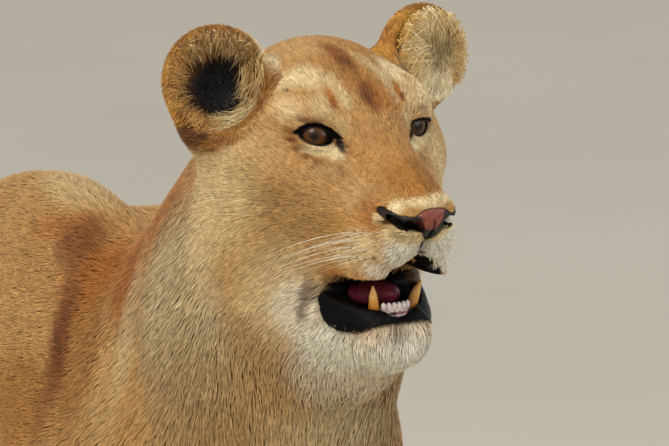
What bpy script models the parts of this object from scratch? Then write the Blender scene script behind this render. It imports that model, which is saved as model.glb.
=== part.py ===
"""A standing lioness at life size, with her mouth a little open, as a museum model.

Metres. +X is forward, +Y is her left and +Z is up. The coat's outer surface is one smooth form:
a blend of named eggs (muscle and bone masses) and limbs (oval tubes through a few stations).
It is found as the zero level of a volume of small cells, drawn onto the form, thinned out, and then
parted by thin cuts into the nodes that a person would name. Ears, eyes, nose, teeth and tongue are
pieces of their own. The right shoulder blade stands higher than the left, as the left foreleg
is the one set forward.
"""

import math

import bmesh
import bpy
import numpy as np
import openvdb
from mathutils import Euler, Matrix, Vector

GAP = 0.0004  # clearance kept between neighbouring pieces
SOLE_LEVEL = 0.0015  # the paws are planed flat at this height, which becomes the ground
FAR = 0.5  # distance given to points well outside a mass
CELL = 0.006  # size of the cells in which the coat's surface is found
SMALL_CELL = 0.0018  # the same for teeth and tongue
BODY_TRIANGLES = 5600

# The head's own frame: origin midway between the eyes, x along the palate.
EYES_AT = Vector((0.850, 0.0, 1.083))
HEAD_PITCH = math.radians(5.3)
HEAD_ROLL = math.radians(1.4)
HEAD_TURN = Euler((HEAD_ROLL, HEAD_PITCH, 0.0)).to_matrix()

EYE_RADIUS = 0.0190
EYE_CENTRE = Vector((-0.0090, 0.0495, 0.0))
EAR_CENTRE = Vector((-0.097, 0.113, 0.039))


# ---------------------------------------------------------------- masses


def turn_matrix(degrees):
    return np.array(Euler([math.radians(a) for a in degrees]).to_matrix())


class Egg:
    """An ellipsoid. turn is its Euler turn in degrees, soft the width of its blend."""

    def __init__(self, centre, radii, turn=(0, 0, 0), soft=0.03, paired=False):
        self.centre = np.array(centre, float)
        self.radii = np.array(radii, float)
        self.turn = turn_matrix(turn)
        self.soft = soft
        self.paired = paired

    def reach(self):
        pad = self.radii.max() + 2 * self.soft
        return self.centre - pad, self.centre + pad

    def distance(self, p):
        q = (p - self.centre) @ self.turn
        k0 = np.linalg.norm(q / self.radii, axis=1)
        k1 = np.linalg.norm(q / self.radii**2, axis=1)
        return k0 * (k0 - 1) / np.maximum(k1, 1e-9)


class Limb:
    """A stack of oval slices set square to one direction, from (x, y, z, half width, half depth).

    Half width is measured towards +Y and half depth across the slice in the other way. cap is
    how far each end is rounded out."""

    def __init__(self, stations, way, soft=0.03, paired=False, cap=None):
        self.rows = smooth_rows(np.array(stations, float), 12)
        self.way = np.array(way, float) / np.linalg.norm(way)
        side = np.array([0.0, 1.0, 0.0])
        side = side - (side @ self.way) * self.way
        self.side = side / np.linalg.norm(side)
        self.depth = np.cross(self.way, self.side)
        self.heights = self.rows[:, :3] @ self.way
        self.soft = soft
        self.paired = paired
        self.cap = cap

    def reach(self):
        pad = self.rows[:, 3:].max() + 2 * self.soft
        points = self.rows[:, :3]
        return points.min(0) - pad, points.max(0) + pad

    def distance(self, p):
        height = p @ self.way
        at = np.clip(height, self.heights[0], self.heights[-1])
        x, y, z, width, depth = (np.interp(at, self.heights, row) for row in self.rows.T)
        q = p - np.column_stack([x, y, z])
        cap = self.cap if self.cap else np.minimum(width, depth)
        across = np.column_stack([q @ self.side / width, q @ self.depth / depth, (height - at) / cap])
        k0 = np.linalg.norm(across, axis=1)
        radii = np.column_stack([width, depth, cap + 0 * width])
        k1 = np.linalg.norm(across / radii, axis=1)
        return k0 * (k0 - 1) / np.maximum(k1, 1e-9)


def smooth_rows(rows, steps):
    """Stations between the given ones, on a Catmull-Rom curve."""
    ends = np.vstack([2 * rows[0] - rows[1], rows, 2 * rows[-1] - rows[-2]])
    found = []
    for before, a, b, after in zip(ends, ends[1:], ends[2:], ends[3:]):
        for t in np.arange(steps) / steps:
            found.append(
                0.5
                * (
                    2 * a
                    + (b - before) * t
                    + (2 * before - 5 * a + 4 * b - after) * t**2
                    + (3 * a - before - 3 * b + after) * t**3
                )
            )
    return np.array(found + [rows[-1]])


def join(a, b, soft):
    """The nearer of two distances, rounded over a width of soft where they meet."""
    h = np.maximum(soft - np.abs(a - b), 0) / soft
    return np.minimum(a, b) - h * h * soft / 4


def carve(a, b, soft):
    """Distance to a with b taken out of it."""
    return -join(-a, b, soft)


def massed(p, masses):
    """Distance from the points to the blend of the masses."""
    found = np.full(len(p), FAR)
    mirrored = p * [1, 0, 1] + np.abs(p) * [0, 1, 0]
    for mass in masses:
        q = mirrored if mass.paired else p
        low, high = mass.reach()
        near = np.all((q > low) & (q < high), axis=1)
        if near.any():
            found[near] = join(found[near], mass.distance(q[near]), mass.soft)
    return found


# ---------------------------------------------------------------- the body's masses

TRUNK = Limb(
    [
        (-0.575, 0, 0.825, 0.050, 0.070),
        (-0.530, 0, 0.805, 0.098, 0.120),
        (-0.440, 0, 0.785, 0.128, 0.160),
        (-0.300, 0, 0.762, 0.138, 0.168),
        (-0.150, 0, 0.738, 0.154, 0.178),
        (0.000, 0, 0.720, 0.166, 0.191),
        (0.150, 0, 0.717, 0.168, 0.203),
        (0.300, 0, 0.720, 0.158, 0.203),
        (0.420, 0, 0.726, 0.142, 0.192),
        (0.540, 0, 0.750, 0.125, 0.180),
        (0.620, 0, 0.765, 0.100, 0.135),
    ],
    (1, 0, 0),
    cap=0.03,
)
NECK = Limb(
    [
        (0.440, 0, 0.760, 0.110, 0.150),
        (0.545, 0, 0.780, 0.145, 0.180),
        (0.620, 0, 0.840, 0.138, 0.170),
        (0.682, 0, 0.920, 0.130, 0.148),
        (0.733, 0, 1.005, 0.111, 0.122),
    ],
    (0.8, 0, 1),
    soft=0.022,
)
TAIL = Limb(
    [
        (-0.555, 0.000, 0.842, 0.034, 0.036),
        (-0.642, 0.000, 0.782, 0.030, 0.035),
        (-0.688, 0.005, 0.695, 0.024, 0.025),
        (-0.716, 0.018, 0.550, 0.021, 0.022),
        (-0.733, 0.036, 0.400, 0.018, 0.019),
        (-0.750, 0.054, 0.280, 0.017, 0.018),
        (-0.780, 0.070, 0.185, 0.021, 0.022),
        (-0.825, 0.082, 0.120, 0.031, 0.032),
        (-0.870, 0.090, 0.085, 0.022, 0.026),
        (-0.900, 0.094, 0.070, 0.006, 0.006),
    ],
    (-0.42, 0.1, -0.9),
    soft=0.050,
)
BODY_MASSES = [
    TRUNK,
    Egg((0.310, -0.052, 0.890), (0.200, 0.042, 0.078), (0, 0, 0), 0.040),  # right withers
    Egg((0.340, 0.052, 0.850), (0.160, 0.042, 0.066), (0, 0, 0), 0.040),  # left withers
    Egg((0.362, -0.094, 0.818), (0.124, 0.046, 0.150), (-8, -12, -4), 0.040),  # right blade
    Egg((0.372, 0.094, 0.786), (0.124, 0.046, 0.150), (8, -12, 4), 0.040),  # left blade
    Egg((0.455, 0.118, 0.690), (0.066, 0.050, 0.090), (0, -10, 0), 0.045, True),  # point
    Egg((0.415, 0.122, 0.640), (0.070, 0.054, 0.110), (0, 45, 0), 0.050, True),  # upper arm
    Egg((-0.410, 0.090, 0.785), (0.155, 0.068, 0.135), (0, 10, 0), 0.075, True),  # haunch
    Egg((-0.370, 0.115, 0.660), (0.115, 0.062, 0.165), (0, -28, 0), 0.070, True),  # thigh
    Egg((0.050, 0.000, 0.560), (0.280, 0.120, 0.070), (0, 3, 0), 0.080, False),  # belly
    Egg((-0.545, 0.000, 0.832), (0.100, 0.062, 0.058), (0, -26, 0), 0.070, False),  # croup
    NECK,
    Egg((0.580, 0.000, 0.715), (0.150, 0.172, 0.125), (0, 0, 0), 0.050, False),  # breast
    Egg((0.655, 0.000, 0.830), (0.085, 0.085, 0.110), (0, 40, 0), 0.080, False),  # throat
    TAIL,
]


def fore_leg(shift, side):
    """Foreleg whose paw stands shift further forward, on her left (side 1) or right (-1)."""
    s = side
    reach = shift
    return Limb(
        [
            (0.475 + reach, 0.117 * s, 0.050, 0.045, 0.044),
            (0.456 + reach, 0.117 * s, 0.120, 0.040, 0.042),
            (0.450 + 0.9 * reach, 0.117 * s, 0.185, 0.039, 0.042),
            (0.446 + 0.8 * reach, 0.118 * s, 0.240, 0.037, 0.041),
            (0.436 + 0.5 * reach, 0.122 * s, 0.340, 0.041, 0.048),
            (0.425 + 0.3 * reach, 0.127 * s, 0.450, 0.048, 0.060),
            (0.425 + 0.1 * reach, 0.130 * s, 0.540, 0.054, 0.076),
            (0.432, 0.127 * s, 0.620, 0.054, 0.084),
            (0.440, 0.112 * s, 0.720, 0.044, 0.075),
        ],
        (0, 0, 1),
        soft=0.04,
        cap=0.06,
    )


def hind_leg(shift, side):
    """Hind leg whose paw stands shift further forward."""
    s = side
    reach = shift
    return Limb(
        [
            (-0.465 + reach, 0.115 * s, 0.045, 0.040, 0.040),
            (-0.485 + reach, 0.115 * s, 0.100, 0.034, 0.035),
            (-0.500 + reach, 0.115 * s, 0.170, 0.030, 0.033),
            (-0.512 + reach, 0.116 * s, 0.245, 0.030, 0.039),
            (-0.500 + 0.9 * reach, 0.118 * s, 0.305, 0.031, 0.050),
            (-0.445 + 0.7 * reach, 0.122 * s, 0.385, 0.037, 0.064),
            (-0.370 + 0.4 * reach, 0.128 * s, 0.475, 0.047, 0.085),
            (-0.325 + 0.2 * reach, 0.128 * s, 0.570, 0.056, 0.105),
            (-0.345, 0.116 * s, 0.670, 0.058, 0.118),
            (-0.370, 0.095 * s, 0.760, 0.050, 0.100),
        ],
        (0, 0, 1),
        soft=0.04,
        cap=0.06,
    )


def paw(x, y, size):
    """A paw with four toes, its heel pad at x, and y its middle line. It stands on z = 0."""
    masses = [
        Egg((x + 0.012, y, 0.036), (0.058 * size, 0.052 * size, 0.044), soft=0.02),
        Egg((x + 0.050, y, 0.030), (0.050 * size, 0.055 * size, 0.034), soft=0.02),
    ]
    for toe in (-1.5, -0.5, 0.5, 1.5):
        back = 0.016 * (abs(toe) - 0.5)
        centre = (x + (0.082 - back) * size, y + 0.0285 * toe * size, 0.027)
        masses.append(
            Egg(centre, (0.031 * size, 0.0165 * size, 0.030), (0, 12, 5 * toe), 0.008)
        )
    return masses


FORE_SHIFT = {1: 0.035, -1: -0.015}
HIND_SHIFT = {1: -0.055, -1: 0.060}
LEG_MASSES = {}
for body_side in (1, -1):
    fore_x = 0.478 + FORE_SHIFT[body_side]
    hind_x = -0.462 + HIND_SHIFT[body_side]
    LEG_MASSES[body_side] = [
        fore_leg(FORE_SHIFT[body_side], body_side),
        hind_leg(HIND_SHIFT[body_side], body_side),
        *paw(fore_x, 0.117 * body_side, 1.0),
        *paw(hind_x, 0.115 * body_side, 0.92),
    ]

# ---------------------------------------------------------------- the head's masses

HEAD_MASSES = [
    Egg((-0.090, 0, 0.007), (0.096, 0.080, 0.065), (0, 0, 0), 0.03),  # cranium
    Egg((-0.030, 0, 0.006), (0.058, 0.062, 0.040), (0, 14, 0), 0.03),  # forehead
    Egg((-0.018, 0.048, 0.017), (0.030, 0.026, 0.015), (0, 10, -20), 0.016, True),  # brow
    Egg((-0.054, 0.062, 0.008), (0.046, 0.030, 0.030), (0, 0, -10), 0.025, True),  # temple
    Limb(
        [
            (-0.030, 0, 0.006, 0.040, 0.030),
            (0.020, 0, -0.005, 0.031, 0.026),
            (0.060, 0, -0.022, 0.026, 0.024),
            (0.095, 0, -0.040, 0.027, 0.025),
            (0.118, 0, -0.050, 0.029, 0.022),
        ],
        (1, 0, -0.35),
        soft=0.02,
    ),  # bridge of the nose
    Egg((-0.032, 0.070, -0.034), (0.058, 0.028, 0.026), (0, 8, -14), 0.03, True),  # cheekbone
    Egg((-0.078, 0.070, -0.060), (0.060, 0.042, 0.060), (0, 0, 0), 0.04, True),  # jaw muscle
    Egg((-0.085, 0.066, -0.115), (0.055, 0.044, 0.055), (0, 30, 0), 0.04, True),  # cheek ruff
    Egg((0.040, 0.030, -0.065), (0.070, 0.026, 0.036), (0, 14, -8), 0.03, True),  # muzzle side
    Egg((0.081, 0.025, -0.084), (0.038, 0.026, 0.027), (0, 14, -14), 0.010, True),  # whisker pad
    Egg((0.101, 0, -0.081), (0.023, 0.018, 0.021), (0, 0, 0), 0.012),  # under the nose
    Egg((0.074, 0.036, -0.112), (0.026, 0.012, 0.018), (0, 8, -16), 0.012, True),  # lip's edge
    Egg((0.002, 0.044, -0.060), (0.048, 0.027, 0.034), (0, 10, -16), 0.025, True),  # under the eye
    Egg((0.112, 0, -0.057), (0.022, 0.035, 0.020), (0, 10, 0), 0.012),  # nose end
    Egg((0.024, 0.037, -0.116), (0.055, 0.017, 0.026), (0, 4, -10), 0.025, True),  # upper lip
    Limb(
        [
            (-0.095, 0.064, -0.095, 0.028, 0.055),
            (-0.050, 0.056, -0.145, 0.024, 0.045),
            (0.000, 0.044, -0.178, 0.019, 0.028),
            (0.036, 0.038, -0.184, 0.017, 0.026),
            (0.064, 0.020, -0.186, 0.018, 0.026),
        ],
        (0.8, 0, -0.45),
        soft=0.02,
        paired=True,
    ),  # lower jaw
    Egg((0.056, 0, -0.194), (0.035, 0.038, 0.032), (0, 0, 0), 0.02),  # chin
    Egg((-0.030, 0, -0.175), (0.080, 0.052, 0.040), (0, 10, 0), 0.03),  # floor of the mouth
    Egg((-0.050, 0, -0.215), (0.080, 0.070, 0.060), (0, 20, 0), 0.05),  # under the jaw
    Egg((-0.108, 0.088, 0.000), (0.034, 0.033, 0.046), (0, 0, 0), 0.03, True),  # ear's root
]
EAR_TURN = (0, -10, 17)
EAR_OUTSIDE = Egg(EAR_CENTRE, (0.036, 0.054, 0.056), EAR_TURN, 0.012, True)
EAR_LOBE = Egg((-0.105, 0.113, -0.004), (0.024, 0.034, 0.038), soft=0.020)  # the right ear's
EAR_HOLLOW = Egg(EAR_CENTRE + Vector((0.024, 0.008, 0.004)), (0.040, 0.044, 0.046), EAR_TURN)
MOUTH = [
    Limb(
        [
            (0.018, 0, -0.1470, 0.120, 0.005),
            (0.028, 0, -0.1440, 0.120, 0.011),
            (0.055, 0, -0.1430, 0.120, 0.0145),
            (0.095, 0, -0.1400, 0.120, 0.018),
            (0.150, 0, -0.1360, 0.120, 0.024),
        ],
        (1, 0, 0),
        soft=0.006,
        cap=0.003,
    ),
    Egg((0.046, 0, -0.142), (0.052, 0.030, 0.024), (0, -6, 0), 0.006),
    Egg((0.108, 0, -0.118), (0.036, 0.014, 0.021), (0, 0, 0), 0.006),
]
LIP_FLAP = Egg((0.087, 0.034, -0.119), (0.019, 0.0085, 0.0145), (0, 10, -14), 0.010)  # left side
NOSTRILS = [
    Egg((0.124, 0.0175, -0.0590), (0.012, 0.0085, 0.0060), (0, 0, 25)),
    Egg((0.112, 0.0310, -0.0620), (0.014, 0.0070, 0.0035), (0, 0, 10)),
]
LEFT_EAR_RISE = np.array([0, 0.003, 0.005])
LEFT_EAR_STRETCH = np.array([1, 1.02, 1.10])
LID = Egg(EYE_CENTRE, (0.0215, 0.0215, 0.0215), (0, 0, 0), 0.012, True)
FISSURE = Egg(EYE_CENTRE + Vector((0.018, 0.002, 0.001)), (0.016, 0.0195, 0.0088), (-9, 0, 24))
TONGUE = [
    Egg((0.018, 0, -0.1560), (0.036, 0.024, 0.0125), (0, -8, 0), 0.01),
    Egg((0.037, 0, -0.1520), (0.020, 0.014, 0.0070), (0, -12, 0), 0.01),
]
CANINE = Limb(
    [
        (0.0590, 0.0190, -0.1720, 0.0060, 0.0070),
        (0.0615, 0.0205, -0.1600, 0.0052, 0.0062),
        (0.0650, 0.0235, -0.1450, 0.0038, 0.0045),
        (0.0685, 0.0262, -0.1345, 0.0010, 0.0012),
    ],
    (0.25, 0.2, 1),
    soft=0.002,
)
INCISORS = [Egg((0.0655, 0, -0.1625), (0.0050, 0.0150, 0.0060), soft=0.003)]
for tooth in (0.0026, 0.0080, 0.0132):
    across = Egg(
        (0.0690 - 14 * tooth**2, tooth, -0.1570), (0.0030, 0.0026, 0.0048), soft=0.001, paired=True
    )
    INCISORS.append(across)


def to_head(p):
    """World points in the head's frame."""
    return (p - np.array(EYES_AT)) @ np.array(HEAD_TURN)


def ear_space(p):
    """Both ears' points in the right ear's shape. Her left ear stands higher and is shorter."""
    q = p * [1, 0, 1] + np.abs(p) * [0, 1, 0]
    centre = np.array(EAR_CENTRE)
    raised = centre + (q - centre - LEFT_EAR_RISE) * LEFT_EAR_STRETCH
    return np.where(p[:, 1:2] > 0, raised, q)


def head_form(p):
    """Distance from points in the head's frame to the head by itself."""
    found = massed(p, HEAD_MASSES)
    mirrored = p * [1, 0, 1] + np.abs(p) * [0, 1, 0]
    near = np.linalg.norm(mirrored - np.array(EYE_CENTRE), axis=1) < 0.08
    if near.any():
        q = mirrored[near]
        found[near] = join(found[near], LID.distance(q), 0.012)
        found[near] = carve(found[near], FISSURE.distance(q), 0.002)
    near = np.linalg.norm(mirrored - np.array(EAR_CENTRE), axis=1) < 0.12
    if near.any():
        q = ear_space(p[near])
        lobe = np.where(p[near, 1] < 0, EAR_LOBE.distance(q), FAR)
        found[near] = join(join(found[near], lobe, EAR_LOBE.soft), ear_form(q), 0.020)
        found[near] = carve(found[near], EAR_HOLLOW.distance(q), 0.010)
    near = np.linalg.norm(mirrored - NOSTRILS[0].centre, axis=1) < 0.05
    for hole in NOSTRILS:
        found[near] = carve(found[near], hole.distance(mirrored[near]), 0.003)
    return join(carve(found, massed(p, MOUTH), 0.006), LIP_FLAP.distance(p), LIP_FLAP.soft)


def ear_form(p):
    return carve(EAR_OUTSIDE.distance(p), EAR_HOLLOW.distance(p), 0.010)


def form(p):
    """Signed distance, negative inside, from world points to the coat's outer surface."""
    found = massed(p, BODY_MASSES)
    for masses in LEG_MASSES.values():
        found = join(found, massed(p, masses), 0.03)
    in_head = to_head(p)
    near = np.linalg.norm(in_head, axis=1) < 0.40
    if near.any():
        q = in_head[near]
        found[near] = join(found[near], head_form(q), 0.04)
        found[near] = carve(found[near], massed(q, MOUTH), 0.006)
    return np.maximum(found, -p[:, 2])


def draw_on(points, level=0.0, rounds=4):
    """The points moved along the form's slope until they lie at this level of it."""
    step = 0.0004
    for _ in range(rounds):
        here = form(points)
        slope = np.stack(
            [form(points + step * np.eye(3)[i]) - here for i in range(3)], axis=1
        )
        slope /= step
        steep = np.maximum((slope**2).sum(1), 0.15)
        move = slope * ((here - level) / steep)[:, None]
        length = np.linalg.norm(move, axis=1)
        points = points - move * np.minimum(1, 0.02 / np.maximum(length, 1e-9))[:, None]
    return points


# ---------------------------------------------------------------- meshes


def mesh_points(mesh):
    points = np.empty(len(mesh.vertices) * 3)
    mesh.vertices.foreach_get("co", points)
    return points.reshape(-1, 3)


def set_points(mesh, points):
    mesh.vertices.foreach_set("co", np.asarray(points, np.float32).ravel())
    mesh.update()


def linked(name, bm):
    """A new object of this bmesh."""
    mesh = bpy.data.meshes.new(name)
    bm.to_mesh(mesh)
    bm.free()
    made = bpy.data.objects.new(name, mesh)
    bpy.context.scene.collection.objects.link(made)
    return made


def baked(obj):
    """Applies the object's modifiers to its mesh."""
    graph = bpy.context.evaluated_depsgraph_get()
    mesh = bpy.data.meshes.new_from_object(obj.evaluated_get(graph))
    obj.modifiers.clear()
    obj.data = mesh
    return obj


def surface(distance, low, high, cell):
    """Points and quads of the surface at distance zero, by way of a volume of small cells.

    A first pass with cells four times as wide finds where the fine ones are needed."""
    low = np.array(low, float)
    blocks = np.ceil((np.array(high) - low) / cell / 4).astype(int)
    wide = distance(grid_points(low, blocks, 4 * cell)).reshape(blocks)
    value = blown_up(wide, 4)
    picked = np.nonzero((np.abs(value) < 9 * cell).ravel())[0]
    index = np.column_stack(np.unravel_index(picked, value.shape))
    value.ravel()[picked] = distance(low + cell * index)
    volume = openvdb.FloatGrid(FAR)
    volume.copyFromArray(value.astype(np.float32) / cell)
    points, _, quads = volume.convertToPolygons(0.0, 0.0)
    return low + cell * points.astype(float), quads


def grid_points(low, shape, cell):
    return low + cell * np.column_stack(np.unravel_index(np.arange(np.prod(shape)), shape))


def blown_up(values, times):
    for axis in range(3):
        values = np.repeat(values, times, axis=axis)
    return values


def netted(name, distance, low, high, cell):
    """An object of the surface at distance zero."""
    points, quads = surface(distance, low, high, cell)
    mesh = bpy.data.meshes.new(name)
    mesh.from_pydata(points, [], quads.tolist())
    made = bpy.data.objects.new(name, mesh)
    bpy.context.scene.collection.objects.link(made)
    return made


def whole_body(cell):
    made = netted("whole_body", form, (-0.95, -0.24, -0.02), (1.03, 0.24, 1.25), cell)
    set_points(made.data, draw_on(mesh_points(made.data), rounds=1))
    return made


# ---------------------------------------------------------------- parting

HEAD_PLACE = Matrix.Translation(EYES_AT) @ HEAD_TURN.to_4x4()
EVERYWHERE = Matrix.Identity(4)


def thinned(obj, triangles):
    """The object with its flattest triangles merged until about this many are left."""
    bm = bmesh.new()
    bm.from_mesh(obj.data)
    bmesh.ops.triangulate(bm, faces=bm.faces[:])
    before = len(bm.faces)
    bm.to_mesh(obj.data)
    bm.free()
    modifier = obj.modifiers.new("Decimate", "DECIMATE")
    modifier.ratio = min(1.0, triangles / before)
    return baked(obj)


def prism(outline, half_width, place=EVERYWHERE, middle=0.0):
    """A cutter: an outline of (x, z) corners, anticlockwise seen from -Y, drawn out along Y."""
    bm = bmesh.new()
    ring = [bm.verts.new((x, middle - half_width, z)) for x, z in outline]
    face = bm.faces.new(ring)
    drawn = bmesh.ops.extrude_face_region(bm, geom=[face])["geom"]
    verts = [item for item in drawn if isinstance(item, bmesh.types.BMVert)]
    bmesh.ops.translate(bm, verts=verts, vec=(0, 2 * half_width, 0))
    bmesh.ops.recalc_face_normals(bm, faces=bm.faces[:])
    bmesh.ops.transform(bm, matrix=place, verts=bm.verts[:])
    return linked("cutter", bm)


def rectangle(x0, x1, z0, z1):
    return [(x0, z0), (x1, z0), (x1, z1), (x0, z1)]


def cut(obj, cutter, operation):
    modifier = obj.modifiers.new("Cut", "BOOLEAN")
    modifier.operation = operation
    modifier.solver = "EXACT"
    modifier.object = cutter
    return baked(obj)


def copied(obj, name):
    made = bpy.data.objects.new(name, obj.data.copy())
    bpy.context.scene.collection.objects.link(made)
    return made


def part_off(rest, name, cutter, towards_rest):
    """Parts what is in the cutter from the rest, with a gap on the rest's side."""
    piece = cut(copied(rest, name), cutter, "INTERSECT")
    cutter.data.transform(Matrix.Translation(GAP * Vector(towards_rest).normalized()))
    cut(rest, cutter, "DIFFERENCE")
    bpy.data.objects.remove(cutter)
    return piece


def seated(hosts, name, distance, low, high, cell, triangles, place=HEAD_PLACE):
    """A piece of its own set in its hosts, which are cut clear of it."""
    piece = netted(name, distance, low, high, cell)
    socket = netted("socket", lambda p: distance(p) - GAP - 0.0001, low, high, cell)
    for made in (piece, socket):
        made.data.transform(place)
    thinned(socket, 2 * triangles)
    for host in hosts:
        cut(host, socket, "DIFFERENCE")
    bpy.data.objects.remove(socket)
    return thinned(piece, triangles)


def legs_off(rest, pieces):
    for side, side_name in ((1, "left"), (-1, "right")):
        for which, x0, x1, levels in (
            ("fore", 0.335, 0.75, (0.110, 0.300, 0.500)),
            ("hind", -0.70, -0.15, (0.100, 0.280, 0.490)),
        ):
            for part_name, top in zip(("paw", "lower_leg", "upper_leg"), levels):
                cutter = prism(rectangle(x0, x1, -0.1, top), 0.11, middle=0.155 * side)
                name = f"{side_name}_{which}_{part_name}"
                pieces.append(part_off(rest, name, cutter, (0, 0, 1)))


def tail_off(rest, pieces):
    tuft = prism(rectangle(-1.0, -0.70, -0.1, 0.225), 0.3)
    pieces.append(part_off(rest, "tail_tuft", tuft, (0, 0, 1)))
    middle = prism(rectangle(-1.0, -0.62, -0.1, 0.560), 0.3)
    pieces.append(part_off(rest, "tail_middle", middle, (0, 0, 1)))
    base = prism(rectangle(-1.0, -0.622, 0.1, 1.2), 0.2)
    pieces.append(part_off(rest, "tail_base", base, (1, 0, 0)))


def ears_off(head, pieces):
    for side, name in ((1, "left_ear"), (-1, "right_ear")):
        centre = Vector((EAR_CENTRE.x, side * (EAR_CENTRE.y + 0.010), EAR_CENTRE.z + 0.010))
        for operation, radius in (("INTERSECT", 0.066), ("DIFFERENCE", 0.066 + GAP + 0.0001)):
            bm = bmesh.new()
            bmesh.ops.create_icosphere(bm, subdivisions=3, radius=radius)
            bmesh.ops.translate(bm, verts=bm.verts, vec=centre)
            bmesh.ops.transform(bm, matrix=HEAD_PLACE, verts=bm.verts[:])
            cutter = linked("cutter", bm)
            if operation == "INTERSECT":
                pieces.append(cut(copied(head, name), cutter, operation))
            else:
                cut(head, cutter, operation)
            bpy.data.objects.remove(cutter)


def eyes_in(head, pieces):
    for side, name in ((1, "left_eye"), (-1, "right_eye")):
        centre = Vector((EYE_CENTRE.x, side * EYE_CENTRE.y, EYE_CENTRE.z))
        made = []
        for radius in (EYE_RADIUS, EYE_RADIUS + GAP + 0.0001):
            bm = bmesh.new()
            bmesh.ops.create_icosphere(bm, subdivisions=3, radius=radius)
            bmesh.ops.translate(bm, verts=bm.verts, vec=centre)
            bmesh.ops.transform(bm, matrix=HEAD_PLACE, verts=bm.verts[:])
            made.append(linked(name, bm))
        cut(head, made[1], "DIFFERENCE")
        bpy.data.objects.remove(made[1])
        pieces.append(made[0])


def mouth_in(head, jaw, pieces):
    low, high = (-0.06, -0.05, -0.21), (0.10, 0.05, -0.12)
    for name, distance, cell, triangles in (
        ("tongue", lambda p: massed(p, TONGUE), 2 * SMALL_CELL, 240),
        ("lower_incisors", lambda p: massed(p, INCISORS), SMALL_CELL / 2, 260),
        ("left_canine", CANINE.distance, SMALL_CELL / 2, 120),
        ("right_canine", lambda p: CANINE.distance(p * [1, -1, 1]), SMALL_CELL / 2, 120),
    ):
        hosts = (head, jaw) if name == "tongue" else (jaw,)
        pieces.append(seated(hosts, name, distance, low, high, cell, triangles))


HEAD_CUT = [(0.655, 1.120), (0.800, 0.855), (1.30, 0.855), (1.30, 1.50), (0.655, 1.50)]
JAW_CUT = [(0.004, -0.1480), (-0.060, -0.2400), (-0.05, -0.36), (0.20, -0.36)]
JAW_CUT += [(0.20, -0.1345), (0.055, -0.1430)]
NECK_CUT = [(0.500, 1.000), (0.720, 0.680), (1.20, 0.680), (1.20, 1.50), (0.500, 1.50)]


def all_pieces():
    rest = thinned(whole_body(CELL), BODY_TRIANGLES)
    ground = prism(rectangle(-1.2, 1.2, -0.2, SOLE_LEVEL), 0.5)
    cut(rest, ground, "DIFFERENCE")
    bpy.data.objects.remove(ground)
    pieces = []
    legs_off(rest, pieces)
    tail_off(rest, pieces)
    head = part_off(rest, "head", prism(HEAD_CUT, 0.4), (-0.877, 0, -0.48))
    jaw = part_off(head, "lower_jaw", prism(JAW_CUT, 0.3, HEAD_PLACE), (-0.875, 0, 0.486))
    nose_cut = prism(rectangle(0.104, 0.2, -0.0745, 0.1), 0.2, HEAD_PLACE)
    pieces.append(part_off(head, "nose", nose_cut, (-1, 0, -0.7)))
    neck = part_off(rest, "neck", prism(NECK_CUT, 0.4), (-0.814, 0, -0.581))
    chest = part_off(rest, "chest", prism(rectangle(0.200, 1.2, 0.1, 1.5), 0.4), (-1, 0, 0))
    loin = part_off(rest, "loin", prism(rectangle(-0.190, 0.4, 0.1, 1.5), 0.4), (-1, 0, 0))
    rest.name = "hindquarters"
    pieces += [head, jaw, neck, chest, loin, rest]
    ears_off(head, pieces)
    eyes_in(head, pieces)
    mouth_in(head, jaw, pieces)
    return pieces


# ---------------------------------------------------------------- materials

TAWNY = (0.55, 0.34, 0.15)
MATERIALS = {
    "tawny_coat": (TAWNY, 0.85),
    "dark_coat": ((0.05, 0.03, 0.02), 0.85),
    "nose_leather": ((0.16, 0.06, 0.05), 0.45),
    "eye": ((0.12, 0.05, 0.01), 0.08),
    "tooth_enamel": ((0.80, 0.55, 0.20), 0.30),
    "tongue_flesh": ((0.30, 0.10, 0.13), 0.40),
}
OTHER_THAN_COAT = {
    "tail_tuft": "dark_coat",
    "nose": "nose_leather",
    "left_eye": "eye",
    "right_eye": "eye",
    "tongue": "tongue_flesh",
    "left_canine": "tooth_enamel",
    "right_canine": "tooth_enamel",
    "lower_incisors": "tooth_enamel",
}


def material(name):
    found = bpy.data.materials.get(name)
    if found:
        return found
    colour, roughness = MATERIALS[name]
    made = bpy.data.materials.new(name)
    made.use_nodes = True
    shader = made.node_tree.nodes["Principled BSDF"]
    shader.inputs["Base Color"].default_value = (*colour, 1)
    shader.inputs["Roughness"].default_value = roughness
    return made


def main():
    for old in list(bpy.data.objects):
        bpy.data.objects.remove(old)
    pieces = all_pieces()
    corners = np.concatenate([mesh_points(piece.data) for piece in pieces])
    middle = (corners.min(0) + corners.max(0)) / 2
    shift = Matrix.Translation((-middle[0], -middle[1], -corners[:, 2].min()))
    lioness = bpy.data.collections.new("lioness")
    bpy.context.scene.collection.children.link(lioness)
    for piece in pieces:
        piece.data.transform(shift)
        piece.data.name = piece.name
        piece.data.materials.clear()
        piece.data.materials.append(material(OTHER_THAN_COAT.get(piece.name, "tawny_coat")))
        for holder in list(piece.users_collection):
            holder.objects.unlink(piece)
        lioness.objects.link(piece)


if __name__ == "__main__":
    main()
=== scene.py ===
"""The looks of a standing lioness at life size: skin, coat, eyes, nose, mouth, claws and whiskers.

Her body is one smooth form, a blend of named eggs (muscle and bone masses) and limbs (oval tubes
through a few stations). The skin lies inside that form by the depth of the coat, and the tufts of
the coat reach out to it. Metres; +X is forward, +Y is her left and +Z is up.
"""

import math

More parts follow.
